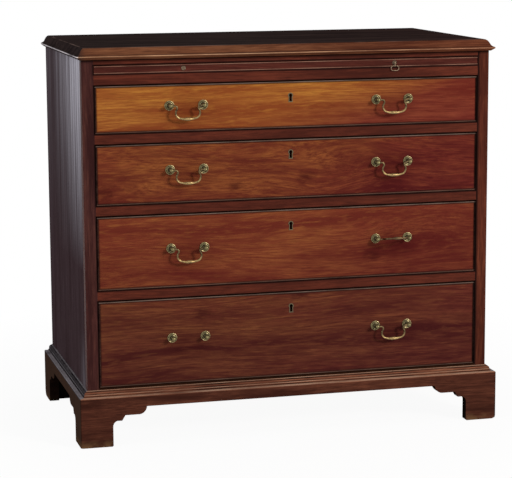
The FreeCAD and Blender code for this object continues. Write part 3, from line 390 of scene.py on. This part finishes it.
# Painted shade: a dark line down the inner edge of the right stile, in the gap beside the drawers.
dark_edge_band = product(tree, span(tree, x, RIGHT_GAP_EDGE + 0.004, RIGHT_GAP_EDGE), sums(tree, "GREATER_THAN", x, 0.0), 0.85)
feed(tree, socket, mixed(tree, dark_edge_band, colour, tone(20, 10, 9)))
rail_wood = wood_finish("rail_mahogany", ALONG_X, (0.9, 0.1, 0.7), (60, 27, 21), (90, 42, 31), (104, 50, 35))
# Both take painted shade along the openings, and a painted shadow under the overhang of the top.
for finish in (stile_wood, rail_wood):
    worked(finish, opening_shade_and_dirt)
    tinted(finish, (0, 0, 1), UNDER_TOP, UNDER_TOP + 0.006, (0.12, 0.12, 0.12))
dress("front_stiles", stile_wood)
for rail in ("top_rail", "slide_rail", "drawer_rails"):
    dress(rail, rail_wood)

# Inside boards: softwood bottom, guides and stops, and thin oak dustboards, none of them polished.
# The dustboards slide into housings in the sides, and the rest is glued and nailed.
softwood = ((78, 56, 38), (112, 84, 56), (128, 98, 66))
inside_wood = wood_finish("inside_softwood", ALONG_Y, (0.3, 0.1, 0), *softwood, sheen=0.02)
for inside in ("drawer_guides", "drawer_stops"):
    dress(inside, inside_wood)
bottom_wood = wood_finish("bottom_softwood", ALONG_X, (0.6, 0.3, 0), *softwood, sheen=0.02)
BOTTOM_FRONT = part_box("bottom_board")[0][1]
# Painted shade darkens the bottom board towards its front edge.
tinted(bottom_wood, (0, 1, 0), BOTTOM_FRONT + 0.02, BOTTOM_FRONT + 0.005, (0.14, 0.08, 0.06))
dress("bottom_board", bottom_wood)
oak = wood_finish("plain_oak", ALONG_Y, (0.2, 0.5, 0.3), (92, 62, 38), (128, 92, 58), (146, 110, 72),
                  sheen=0.02)
# What faces forwards or backwards, such as the back of a drawer, has its grain across.
tree, colour, socket = colour_of(oak)
facing = sums(tree, "ABSOLUTE", parts(tree, facing_of(tree))["Y"])
turned = tree.nodes["Mapping"].outputs[0]
crossing = mixed(tree, sums(tree, "GREATER_THAN", facing, 0.5), turned, place_of(tree))
feed(tree, colour.node.inputs["Vector"], crossing)
dress("dustboards", oak)

# Back: five upright softwood boards with eased edges, nailed to the bottom, the dustboards and the rebates
# of the sides. They have shrunk apart, and rust has stained the wood round the iron nails.
BACK_LOW, BACK_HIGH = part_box("back_boards")
BACK_GAP = 0.0012
# How much thinner each board was planed than the rebate is deep.
BACK_SHAVED = (0.0014, 0.0011, 0.0017, 0.0012, 0.0015)
BACK_PITCH = (BACK_HIGH[0] - BACK_LOW[0] + BACK_GAP) / len(BACK_SHAVED)
BACK_WIDTH = BACK_PITCH - BACK_GAP
BACK_EASE = 0.0025
NAIL_INSET = 0.024
NAIL_RADIUS, NAIL_CROWN, NAIL_HEIGHT = 0.0034, 0.0022, 0.0014
NAIL_LEVELS = (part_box("bottom_board")[1][2] - 0.009, 0.33, 0.52, 0.67, BACK_HIGH[2] - 0.014)

# Wrought iron, patchy with rust.
rusty, given, result = new_group(
    "rusty_iron", {"Vector": "Vector", "Clean": "Color", "Rust": "Color", "Marks": "Float"},
    {"Color": "Color", "Roughness": "Float"},
)
scaled = add(rusty, "ShaderNodeVectorMath", {0: given["Vector"], "Scale": given["Marks"]}, operation="SCALE")
scale = noise(rusty, scaled.outputs[0], (1, 1, 1), 5.0, 0.65)
feed(rusty, result["Color"], mixed(rusty, span(rusty, scale, 0.4, 0.6), given["Clean"], given["Rust"]))
feed(rusty, result["Roughness"], span(rusty, scale, 0.3, 0.7, 0.45, 0.75))


def iron_finish(name, clean, rust, marks):
    """An iron with its own tones, and so many patches of rust to the metre."""
    made, tree, surface = new_finish(name)
    inputs = {"Vector": place_of(tree), "Clean": tone(*clean), "Rust": tone(*rust), "Marks": marks}
    metal = add(tree, "ShaderNodeGroup", inputs, node_tree=rusty).outputs
    feed(tree, surface.inputs["Base Color"], metal["Color"])
    feed(tree, surface.inputs["Roughness"], metal["Roughness"])
    surface.inputs["Metallic"].default_value = 0.8
    return made


def new_piece(name, mesh, finish, body, slot, *stands_for):
    """Make a finished piece of a bmesh, and let it ride on a body."""
    bmesh.ops.recalc_face_normals(mesh, faces=mesh.faces)
    data = bpy.data.meshes.new(name)
    mesh.to_mesh(data)
    mesh.free()
    data.shade_smooth()
    data.set_sharp_from_angle(angle=math.radians(32))
    data.materials.append(finish)
    piece = bpy.data.objects.new(name, data)
    bpy.context.scene.collection.objects.link(piece)
    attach(piece, body)
    if stands_for:
        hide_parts(*stands_for)


def distance(tree, across, up):
    """How far a point lies from a place, from its two offsets."""
    flat = add(tree, "ShaderNodeCombineXYZ", {0: across, 1: up}).outputs[0]
    return add(tree, "ShaderNodeVectorMath", {0: flat}, operation="LENGTH").outputs["Value"]


iron = iron_finish("rusted_iron", (46, 43, 41), (74, 58, 46), 90)
back_wood = wood_finish("back_softwood", ALONG_Z, (0.4, 0.1, 0.9), (84, 60, 40), (120, 90, 60),
                        (138, 106, 72), sheen=0.02)
tree, colour, socket = colour_of(back_wood)
here = place_of(tree)
x, y, z = parts(tree, here)
from_left = sums(tree, "SUBTRACT", x, BACK_LOW[0])
which = sums(tree, "FLOOR", sums(tree, "DIVIDE", from_left, BACK_PITCH))
# Each board has its own figure and its own shade.
slid = add(tree, "ShaderNodeCombineXYZ", {0: which, 2: which}).outputs[0]
feed(tree, tree.nodes["Mapping"].inputs["Vector"], vectors(tree, "ADD", here, slid))
chance = add(tree, "ShaderNodeTexWhiteNoise", {"W": which}, noise_dimensions="1D").outputs["Value"]
darker = mixed(tree, 1.0, colour, (0.4, 0.38, 0.38, 1), "MULTIPLY")
colour = mixed(tree, product(tree, chance, 0.5), colour, darker)
from_middle = sums(tree, "SUBTRACT", from_left, product(tree, which, BACK_PITCH))
from_middle = apart(tree, from_middle, BACK_WIDTH / 2)
dark_edge_band = span(tree, from_middle, BACK_WIDTH / 2 - 0.008, BACK_WIDTH / 2, 0.0, 0.6)
colour = mixed(tree, dark_edge_band, colour, tone(40, 28, 20))
up = apart(tree, z, NAIL_LEVELS[0])
for level in NAIL_LEVELS[1:]:
    up = sums(tree, "MINIMUM", up, apart(tree, z, level))
across = sums(tree, "SUBTRACT", from_middle, BACK_WIDTH / 2 - NAIL_INSET)
stain = span(tree, distance(tree, across, product(tree, up, 0.5)), 0.0028, 0.009, 0.75, 0.0)
feed(tree, socket, mixed(tree, stain, colour, tone(38, 26, 22)))

boards = bmesh.new()
nails = bmesh.new()
for number, shaved in enumerate(BACK_SHAVED):
    size = (BACK_WIDTH, BACK_HIGH[1] - BACK_LOW[1] - shaved, BACK_HIGH[2] - BACK_LOW[2])
    centre_x = BACK_LOW[0] + number * BACK_PITCH + BACK_WIDTH / 2
    face = BACK_HIGH[1] - shaved
    place = Matrix.Translation((centre_x, BACK_LOW[1] + size[1] / 2, (BACK_LOW[2] + BACK_HIGH[2]) / 2))
    corners = bmesh.ops.create_cube(boards, size=1, matrix=place @ Matrix.Diagonal((*size, 1)))["verts"]
    edges = dict.fromkeys(edge for corner in corners for edge in corner.link_edges)
    eased = [edge for edge in edges if all(end.co.y > face - 0.001 for end in edge.verts)
             and abs(edge.verts[0].co.x - edge.verts[1].co.x) < 0.001]
    bmesh.ops.bevel(boards, geom=eased, offset=BACK_EASE, segments=2, profile=0.5, affect="EDGES",
                    material=-1)
    for level in NAIL_LEVELS:
        for side in (-1, 1):
            head = Matrix.Translation((centre_x + side * (BACK_WIDTH / 2 - NAIL_INSET), face, level))
            bmesh.ops.create_cone(nails, cap_ends=True, segments=10, radius1=NAIL_RADIUS, radius2=NAIL_CROWN,
                                  depth=NAIL_HEIGHT, matrix=head @ Matrix.Rotation(math.radians(-90), 4, "X"))
new_piece("back_planks", boards, back_wood, "carcase", "pine", "back_boards")
new_piece("back_nails", nails, iron, "carcase", "iron")

# Top: one wide mahogany board, its front and both ends worked to an ogee over a pointed lip. Its flat
# and its ends are painted nearly black as painted shade, and the front of the moulding shows brown wood.
TOP_LOW, TOP_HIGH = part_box("top")
# Each step of the moulded edge: how far in from the lip and up from the underside, in millimetres.
EDGE_STEPS = (
    (8, 0), (2.2, 4.2), (0.7, 5.3), (0, 6.6), (0.7, 7.8), (2.2, 8.8), (4.4, 9.7), (6.4, 11), (8, 12.8),
    (9.2, 15), (10.4, 17.4), (11.8, 19.8), (13.6, 22), (15.6, 23.7), (17.4, 24.6), (19, 25),
)
LIP_TIP = TOP_LOW[2] + 0.0066
UPPER_ARRIS = 0.018


def set_step(corners, step):
    """Bring four corners to one step of the moulded edge. The back edge is left square."""
    inset, rise = (size / 1000 for size in step)
    for corner in corners:
        corner.co.x = TOP_LOW[0] + inset if corner.co.x < 0 else TOP_HIGH[0] - inset
        corner.co.y = TOP_LOW[1] + inset if corner.co.y < 0 else TOP_HIGH[1]
        corner.co.z = TOP_LOW[2] + rise


top_wood = wood_finish("top_mahogany", ALONG_X, (0.5, 0.3, 0.1), (32, 26, 26), (54, 44, 42), (66, 53, 49),
                       sheen=0.0)
tree, colour, socket = colour_of(top_wood)
here = place_of(tree)
x, y, z = parts(tree, here)
# Brown wood on the front of the moulding; the rest keeps the top's nearly black painted shade.
tones = {"Deep": tone(70, 38, 27), "Middle": tone(110, 68, 46), "Bright": tone(126, 82, 56)}
inputs = {"Vector": here, **tones, "Broad": 0.6, "Sway": 0.05}
figure = add(tree, "ShaderNodeGroup", inputs, node_tree=grain).outputs
brown_front = product(tree, span(tree, parts(tree, facing_of(tree))["Y"], -0.3, -0.45),
               span(tree, x, TOP_LOW[0] + 0.006, TOP_LOW[0] + 0.02, 0.3, 1.0))
colour = mixed(tree, brown_front, colour, figure["Color"])
# A pale line along the arris where the moulding meets the flat of the top: a painted highlight, with some
# real wear.
end_inset = sums(tree, "SUBTRACT", TOP_HIGH[0], sums(tree, "ABSOLUTE", x))
inset = sums(tree, "MINIMUM", end_inset, sums(tree, "SUBTRACT", y, TOP_LOW[1]))
patchy = span(tree, noise(tree, here, (9, 9, 4), 4.0), 0.42, 0.62, 0.0, 0.55)
arris = product(tree, span(tree, apart(tree, inset, UPPER_ARRIS), 0.0008, 0.002, 1.0, 0.0), patchy)
feed(tree, socket, mixed(tree, arris, colour, tone(118, 98, 90)))
# Pale painted highlights along the lip, at the front and on the left end, with some real wear along the
# front.
painted_line(top_wood, LIP_TIP, 0.0012, (196, 156, 122), 0.75, (0, 1, 0), TOP_LOW[1] + 0.004)
painted_line(top_wood, LIP_TIP, 0.0016, (220, 212, 214), 0.9, (1, 0, 0), TOP_LOW[0] + 0.004)
tinted(top_wood, (1, 0, 0), -0.1, 0.42, (0.98, 0.84, 0.84))

board = bmesh.new()
corners = bmesh.ops.create_cube(board, size=1)["verts"]
upper = [corner for corner in corners if corner.co.z > 0]
crown = next(face for face in board.faces if all(corner in upper for corner in face.verts))
set_step([corner for corner in corners if corner.co.z < 0], EDGE_STEPS[0])
set_step(upper, EDGE_STEPS[1])
for step in EDGE_STEPS[2:]:
    risen = bmesh.ops.extrude_face_region(board, geom=[crown])["geom"]
    bmesh.ops.delete(board, geom=[crown], context="FACES_ONLY")
    crown = next(part for part in risen if isinstance(part, bmesh.types.BMFace))
    set_step(crown.verts, step)
new_piece("top_board", board, top_wood, "carcase", "mahogany_top", "top")

# Brushing slide: a mahogany board with clamped ends and a beaded front lip, with pale painted highlights
# along its beads.
# Two small brass rosettes hold the pulls, of which one ring is left.
slide_tones = ((58, 26, 22), (88, 43, 35), (100, 50, 39))
slide_wood = wood_finish("slide_mahogany", ALONG_X, (0.1, 0.8, 0.4), *slide_tones)
SLIDE_FACE = SLIDE_BOX[0][1]
for level in (SLIDE_BOX[0][2] + 0.0015, SLIDE_BOX[1][2] - 0.0015):
    painted_line(slide_wood, level, 0.001, (150, 116, 98), 0.7, (0, 1, 0), SLIDE_FACE + 0.0007)
for piece in ("slide_board", "slide_lip"):
    dress(piece, slide_wood)
dress("slide_cleats", wood_finish("cleat_mahogany", ALONG_Y, (0.3, 0.5, 0.6), *slide_tones))

# Old cast brass: brown-green in the hollows, mottled, and rubbed bright along a direction.
old_brass, given, result = new_group(
    "old_brass",
    {"Vector": "Vector", "Deep": "Color", "Middle": "Color", "Bright": "Color", "Direction": "Vector",
     "Dull": "Float", "Shine": "Float"},
    {"Color": "Color", "Roughness": "Float", "Height": "Float"},
)
mottle = noise(old_brass, given["Vector"], (260, 260, 260), 4.0, 0.6)
metal = mixed(old_brass, span(old_brass, mottle, 0.36, 0.62), given["Deep"], given["Middle"])
patchy = span(old_brass, noise(old_brass, given["Vector"], (420, 420, 420), 2.0), 0.34, 0.6, 0.2, 1.0)
reach = along(old_brass, given["Vector"], given["Direction"])
wear_and_light = product(old_brass, patchy, span(old_brass, reach, given["Dull"], given["Shine"]))
feed(old_brass, result["Color"], mixed(old_brass, wear_and_light, metal, given["Bright"]))
feed(old_brass, result["Roughness"], span(old_brass, mottle, 0.3, 0.7, 0.5, 0.3))
feed(old_brass, result["Height"], mottle)
PIT_DEPTH = 0.0003


def brass_finish(name, deep, middle, bright, direction=(0, 0, 0), dull=-1.0, shine=-0.5):
    """Old brass, bright with wear between two places along a direction. With no direction, it is bright with
    wear all over.
    """
    made, tree, surface = new_finish(name)
    tones = {"Deep": tone(*deep), "Middle": tone(*middle), "Bright": tone(*bright)}
    inputs = {"Vector": place_of(tree), **tones, "Direction": direction, "Dull": dull, "Shine": shine}
    metal = add(tree, "ShaderNodeGroup", inputs, node_tree=old_brass).outputs
    bump = add(tree, "ShaderNodeBump", {"Height": metal["Height"], "Strength": 0.3, "Distance": PIT_DEPTH})
    feed(tree, surface.inputs["Base Color"], metal["Color"])
    feed(tree, surface.inputs["Roughness"], metal["Roughness"])
    feed(tree, surface.inputs["Normal"], bump.outputs[0])
    surface.inputs["Metallic"].default_value = 0.85
    return made


pull_brass = brass_finish("pull_brass", (56, 44, 36), (104, 86, 70), (142, 122, 100), (0, 1, 0),
                          SLIDE_FACE + 0.001, SLIDE_FACE - 0.001)
for piece in ("slide_roses", "slide_ring"):
    dress(piece, pull_brass)

# Drawer fronts, linings and beads: mahogany fronts lap dovetailed to oak linings, with mitred cock bead
# round each front. The top drawer is bleached the most, on the left and in the middle. The fronts grow darker
# from the top drawer down, partly as painted shade.
FRONT_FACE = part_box("drawer_1_front")[0][1]
HANDLE_OFFSET = 0.232
HALF_CENTRES = 0.037
HANDLE_HEIGHTS = {1: 0.735, 2: 0.597, 3: 0.426, 4: 0.229}
# Each front's deep, middle and bright tone, and its tints towards the right and towards the bottom.
FRONT_TONES = {
    1: ((126, 65, 30), (152, 91, 42), (180, 124, 50), (0.51, 0.29, 0.72), (0.84, 0.76, 0.96)),
    2: ((84, 33, 24), (118, 57, 35), (142, 86, 42), (0.7, 0.5, 0.8), (0.88, 0.8, 0.96)),
    3: ((96, 39, 28), (123, 61, 38), (146, 90, 46), (0.76, 0.62, 0.8), (0.72, 0.62, 0.8)),
    4: ((68, 28, 23), (98, 49, 34), (120, 74, 42), (0.9, 0.8, 0.94), (0.76, 0.7, 0.92)),
}
FRONT_SWAYS = {1: 0.03, 2: 0.14, 3: 0.08, 4: 0.05}
# How far the right tint leans to the left for each metre further down.
FRONT_LEANS = {1: 2.5, 2: 1.0, 3: 1.0, 4: 0.0}
# Where the knots lie on each front.
KNOTS = {
    1: (),
    2: ((-0.121, 0.554), (0.034, 0.572), (-0.412, 0.55)),
    3: ((0.19, 0.39),),
    4: ((0.02, 0.31), (-0.2, 0.28)),
}

# Hands have soiled the wood round each handle, and painted shade darkens it under each bail.
handle_soil_and_shade, given, out = new_effect("handle_soil_and_shade", Height="Float")
x, y, z = parts(handle_soil_and_shade, given["Vector"])
across = sums(handle_soil_and_shade, "SUBTRACT", sums(handle_soil_and_shade, "ABSOLUTE", x), HANDLE_OFFSET)
up = sums(handle_soil_and_shade, "SUBTRACT", z, given["Height"])
reach = distance(handle_soil_and_shade, product(handle_soil_and_shade, across, 0.6), sums(handle_soil_and_shade, "ADD", up, 0.016))
patchy = span(handle_soil_and_shade, noise(handle_soil_and_shade, given["Vector"], (30, 30, 60), 4.0), 0.3, 0.65, 0.35, 1.0)
soil_and_shade = product(handle_soil_and_shade, span(handle_soil_and_shade, reach, 0.016, 0.042, 0.6, 0.0), patchy)
dark = mixed(handle_soil_and_shade, 1.0, given["Color"], (0.52, 0.34, 0.5, 1), "MULTIPLY")
feed(handle_soil_and_shade, out, mixed(handle_soil_and_shade, soil_and_shade, given["Color"], dark))

# A ragged dark knot, wider than it is high.
knot, given, out = new_effect("knot", Across="Float", Up="Float")
x, y, z = parts(knot, given["Vector"])
across = product(knot, sums(knot, "SUBTRACT", x, given["Across"]), 0.55)
reach = distance(knot, across, sums(knot, "SUBTRACT", z, given["Up"]))
ragged = span(knot, noise(knot, given["Vector"], (60, 60, 140), 3.0), 0.3, 0.7, -0.006, 0.006)
dark = mixed(knot, 1.0, given["Color"], (0.34, 0.24, 0.4, 1), "MULTIPLY")
core = span(knot, sums(knot, "ADD", reach, ragged), 0.002, 0.015, 0.6, 0.0)
feed(knot, out, mixed(knot, core, given["Color"], dark))

# Polish and dirt have gathered where a front meets its bead, and painted shade darkens that corner as well.
front_rim_dirt_and_shade, given, out = new_effect("front_rim_dirt_and_shade", Low="Vector", High="Vector")
reach = past_edge(front_rim_dirt_and_shade, given["Vector"], given["Low"], given["High"])
rim = span(front_rim_dirt_and_shade, reach, -0.006, -0.0032, 0.0, 0.75)
feed(front_rim_dirt_and_shade, out, mixed(front_rim_dirt_and_shade, rim, given["Color"], tone(40, 18, 13)))

bead_wood = wood_finish("bead_mahogany", ALONG_X, (0.6, 0.2, 0.8), (30, 16, 14), (52, 32, 27), (70, 48, 42))
BEAD_CREST = DRAWER_BOXES[1][0][1] + 0.0006
# Pale painted highlights along the top and bottom beads of each front.
for low, high in DRAWER_BOXES.values():
    painted_line(bead_wood, high[2] - 0.0013, 0.0012, (138, 118, 106), 0.6, (0, 1, 0), BEAD_CREST)
    painted_line(bead_wood, low[2] + 0.0017, 0.0012, (128, 98, 84), 0.45, (0, 1, 0), BEAD_CREST)
# Painted shade: the beads up the right ends are darker.
SHADED_BEAD_EDGE = 0.4265
tinted(bead_wood, (1, 0, 0), SHADED_BEAD_EDGE, SHADED_BEAD_EDGE + 0.001, (0.3, 0.3, 0.3))

for number, (deep, middle, bright, right_tint, low_tint) in FRONT_TONES.items():
    low, high = DRAWER_BOXES[number]
    front_wood = wood_finish(f"drawer_{number}_mahogany", ALONG_X, (0.37 * number, 0.2, 0.61 * number), deep,
                             middle, bright, broad=0.7, sway=FRONT_SWAYS[number])
    lean = FRONT_LEANS[number]
    start = -lean * (low[2] + high[2]) / 2
    tinted(front_wood, (1, 0, -lean), start, start + 0.28, right_tint)
    tinted(front_wood, (0, 0, 1), high[2], low[2], low_tint)
    worked(front_wood, handle_soil_and_shade, Height=HANDLE_HEIGHTS[number])
    for across, up in KNOTS[number]:
        worked(front_wood, knot, Across=across, Up=up)
    worked(front_wood, front_rim_dirt_and_shade, Low=low, High=high)
    dress(f"drawer_{number}_front", front_wood)
    dress(f"drawer_{number}_linings", oak)
    dress(f"drawer_{number}_bottom", oak)
    dress(f"drawer_{number}_beading", bead_wood)

# Locks: iron cases let into the back of each front, with a bolt that shoots up into the rail. Four
# slotted screws hold each case.
SCREW_RADIUS, SCREW_HEIGHT, SLOT_HALF = 0.0034, 0.0016, 0.0004
SCREW_OFFSET = 0.025
SCREW_RISE, SCREW_DROP = 0.007, 0.012
# No two slots were left at the same angle.
FIRST_TURN, NEXT_TURN = 20, 47
screw_iron = iron_finish("screw_iron", (128, 122, 114), (150, 128, 104), 400)


def shell_of(corners):
    """The corners, edges and faces of one shell, from its corners."""
    edges = dict.fromkeys(edge for corner in corners for edge in corner.link_edges)
    faces = dict.fromkeys(face for corner in corners for face in corner.link_faces)
    return [*corners, *edges, *faces]


def only(kind, pieces):
    """Those of some pieces of a mesh that are of one kind."""
    return [piece for piece in pieces if isinstance(piece, kind)]


def slotted_screw(mesh, place):
    """A low screw head with its slot sunk by half the head's height."""
    corners = bmesh.ops.create_cone(mesh, cap_ends=True, segments=14, radius1=SCREW_RADIUS,
                                    radius2=SCREW_RADIUS * 0.8, depth=SCREW_HEIGHT)["verts"]
    for side in (-SLOT_HALF, SLOT_HALF):
        cut = bmesh.ops.bisect_plane(mesh, geom=shell_of(corners), plane_co=(0, side, 0), plane_no=(0, 1, 0))
        corners = only(bmesh.types.BMVert, cut["geom"])
    slot = next(face for face in only(bmesh.types.BMFace, shell_of(corners))
                if face.normal.z > 0.9 and abs(face.calc_center_median().y) < SLOT_HALF)
    sunk = bmesh.ops.extrude_face_region(mesh, geom=[slot])["geom"]
    bmesh.ops.delete(mesh, geom=[slot], context="FACES_ONLY")
    slot_floor = only(bmesh.types.BMVert, sunk)
    bmesh.ops.translate(mesh, verts=slot_floor, vec=(0, 0, -SCREW_HEIGHT / 2))
    bmesh.ops.transform(mesh, matrix=place, verts=corners + slot_floor)


for number in DRAWER_BOXES:
    dress(f"drawer_{number}_lock", iron)
    dress(f"drawer_{number}_bolt", iron)
    low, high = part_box(f"drawer_{number}_lock")
    screws = bmesh.new()
    turn = FIRST_TURN * number
    for across in (-SCREW_OFFSET, SCREW_OFFSET):
        for level in (low[2] + SCREW_RISE, high[2] - SCREW_DROP):
            turn += NEXT_TURN
            place = Matrix.Translation((across, high[1], level)) @ Matrix.Rotation(math.radians(-90), 4, "X")
            slotted_screw(screws, place @ Matrix.Rotation(math.radians(turn), 4, "Z"))
    new_piece(f"drawer_{number}_lock_screws", screws, screw_iron, f"drawer_{number}", "iron")

# Handles: cast brass roses and posts, bolted through each front, and swan-neck bails that hang between
# them. The roses have beads round the rim and the shoulder, and the bails are rubbed where they are held.
bead_brass = brass_finish("bead_brass", (58, 51, 34), (108, 97, 66), (168, 154, 114))
# Each bead's radius on the rose, its height off the drawer front and its half thickness.
ROSE_BEADS = ((0.0098, 0.0013, 0.0008), (0.0067, 0.0034, 0.0005))
# A bail taller than this hangs down. The raised one shows its shaded side.
HANGING_HEIGHT = 0.02

# Dirt in the hollow round each post, and a rubbed rim with a painted highlight, brightest towards the top.
# The keyhole's escutcheon is duller than the roses.
rose_patina_and_highlight, given, out = new_effect("rose_patina_and_highlight", Height="Float")
x, y, z = parts(rose_patina_and_highlight, given["Vector"])
x = sums(rose_patina_and_highlight, "ABSOLUTE", x)
across = sums(rose_patina_and_highlight, "SUBTRACT", apart(rose_patina_and_highlight, x, HANDLE_OFFSET), HALF_CENTRES)
up = sums(rose_patina_and_highlight, "SUBTRACT", z, given["Height"])
radius = distance(rose_patina_and_highlight, across, up)
on_rose = sums(rose_patina_and_highlight, "GREATER_THAN", y, FRONT_FACE - 0.0062)
hollow = product(rose_patina_and_highlight, span(rose_patina_and_highlight, radius, 0.0088, 0.0062, 0.0, 0.9), on_rose)
colour = mixed(rose_patina_and_highlight, hollow, given["Color"], tone(34, 30, 18))
patchy = span(rose_patina_and_highlight, noise(rose_patina_and_highlight, given["Vector"], (150, 150, 150), 3.0), 0.34, 0.6, 0.25, 1.0)
rim = product(rose_patina_and_highlight, span(rose_patina_and_highlight, radius, 0.0088, 0.0098), sums(rose_patina_and_highlight, "LESS_THAN", radius, 0.013),
              span(rose_patina_and_highlight, up, -0.008, 0.006, 0.2, 0.9), patchy, on_rose)
colour = mixed(rose_patina_and_highlight, rim, colour, tone(164, 150, 110))
escutcheon = product(rose_patina_and_highlight, sums(rose_patina_and_highlight, "LESS_THAN", x, 0.02), 0.6)
feed(rose_patina_and_highlight, out, mixed(rose_patina_and_highlight, escutcheon, colour, tone(112, 100, 80)))

for number, handle_height in HANDLE_HEIGHTS.items():
    rose_brass = brass_finish(f"rose_{number}_brass", (46, 41, 28), (92, 84, 56), (124, 114, 78), (0, 1, 0),
                              FRONT_FACE - 0.0006, FRONT_FACE - 0.0012)
    worked(rose_brass, rose_patina_and_highlight, Height=handle_height)
    dress(f"drawer_{number}_brasses", rose_brass)
    beads = bmesh.new()
    for across in (-HANDLE_OFFSET - HALF_CENTRES, HALF_CENTRES - HANDLE_OFFSET,
                   HANDLE_OFFSET - HALF_CENTRES, HANDLE_OFFSET + HALF_CENTRES):
        centre = Vector((across, FRONT_FACE, handle_height))
        for radius, height, thick in ROSE_BEADS:
            place = Matrix.Translation(centre + Vector((radius, -height, 0)))
            ring = bmesh.ops.create_circle(beads, segments=8, radius=thick, matrix=place)["verts"]
            edges = only(bmesh.types.BMEdge, shell_of(ring))
            bmesh.ops.spin(beads, geom=ring + edges, cent=centre, axis=(0, 1, 0), angle=math.tau, steps=28,
                           use_merge=True)
    new_piece(f"drawer_{number}_rose_beads", beads, bead_brass, f"drawer_{number}", "brass")
    for hand in ("left", "right"):
        bail = f"drawer_{number}_{hand}_bail"
        if bail not in nodes:
            continue
        low, high = (corner[2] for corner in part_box(bail))
        grip = (164, 138, 92) if high - low > HANGING_HEIGHT else (84, 64, 44)
        dress(bail, brass_finish(f"{bail}_brass", (62, 50, 34), (114, 95, 64), grip, (0, 0, 1), low + 0.016,
                                 low + 0.008))

# Studio: a pale floor that keeps the chest's shadow, a white surround, a key lamp high on the right,
# and a soft fill on the left.
floor_mesh = bmesh.new()
bmesh.ops.create_grid(floor_mesh, x_segments=1, y_segments=1, size=14)
floor_data = bpy.data.meshes.new("floor")
floor_mesh.to_mesh(floor_data)
floor_mesh.free()
floor = bpy.data.objects.new("floor", floor_data)
bpy.context.scene.collection.objects.link(floor)


def seen_by_eye(tree):
    """1 for rays that show a surface to the camera, a gloss or a glass."""
    path = add(tree, "ShaderNodeLightPath").outputs
    seen = sums(tree, "MAXIMUM", path["Is Camera Ray"], path["Is Glossy Ray"])
    return sums(tree, "MAXIMUM", seen, path["Is Transmission Ray"])


def blended(tree, share, first, second):
    """One shader turned into another by a share."""
    return add(tree, "ShaderNodeMixShader", {0: share, 1: first.outputs[0], 2: second.outputs[0]}).outputs[0]


floor_paint, tree, surface = new_finish("floor_paint")
tree.nodes.remove(surface)
matt = add(tree, "ShaderNodeBsdfDiffuse", {"Color": (0.8, 0.8, 0.8, 1)})
glow = add(tree, "ShaderNodeEmission", {"Color": (1, 1, 1, 1), "Strength": 1.0})
away = add(tree, "ShaderNodeVectorMath", {0: place_of(tree)}, operation="LENGTH").outputs["Value"]
share = product(tree, seen_by_eye(tree), span(tree, away, 0.55, 1.3, 0.94, 1.0))
feed(tree, tree.nodes["Material Output"].inputs["Surface"], blended(tree, share, matt, glow))
floor_data.materials.append(floor_paint)

world = bpy.data.worlds.new("surround")
bpy.context.scene.world = world
world.use_nodes = True
tree = world.node_tree
tree.nodes.clear()
ambient = add(tree, "ShaderNodeBackground", {"Color": (1, 1, 1, 1), "Strength": 0.52})
white = add(tree, "ShaderNodeBackground", {"Color": (1, 1, 1, 1), "Strength": 1.0})
add(tree, "ShaderNodeOutputWorld", {"Surface": blended(tree, seen_by_eye(tree), ambient, white)})


def lamp(name, place, aim, size, power, colour):
    """A round soft lamp, turned to what it lights."""
    data = bpy.data.lights.new(name, "AREA")
    data.shape = "DISK"
    data.size = size
    data.energy = power
    data.color = colour
    made = bpy.data.objects.new(name, data)
    bpy.context.scene.collection.objects.link(made)
    made.location = place
    made.rotation_euler = (Vector(aim) - Vector(place)).to_track_quat("-Z", "Y").to_euler()


lamp("key", (3.7, -5.0, 2.9), (0, -0.2, 0.45), 1.3, 306, (1, 0.96, 0.9))
lamp("fill", (-3.4, -0.5, 1.9), (-0.46, 0, 0.45), 2.0, 32, (0.92, 0.94, 1))

# Camera: a long lens a little over a metre up, in front of the chest and to its left, and turned down
# by some nine degrees. It has no shift, so that other views stay centred.
camera_data = bpy.data.cameras.new("camera")
camera_data.sensor_width = 36
camera_data.lens = 136.2
camera_data.clip_end = 60
camera = bpy.data.objects.new("camera", camera_data)
bpy.context.scene.collection.objects.link(camera)
bpy.context.scene.camera = camera
YAW, PITCH, ROLL = (math.radians(angle) for angle in (14.72, 9.35, -0.33))
aim = Matrix.Rotation(-YAW, 4, "Z") @ Matrix.Rotation(math.pi / 2 - PITCH, 4, "X")
camera.matrix_world = Matrix.Translation((-1.1395, -4.25635, 1.12455)) @ aim @ Matrix.Rotation(ROLL, 4, "Z")
bpy.context.scene.view_settings.view_transform = "Standard"
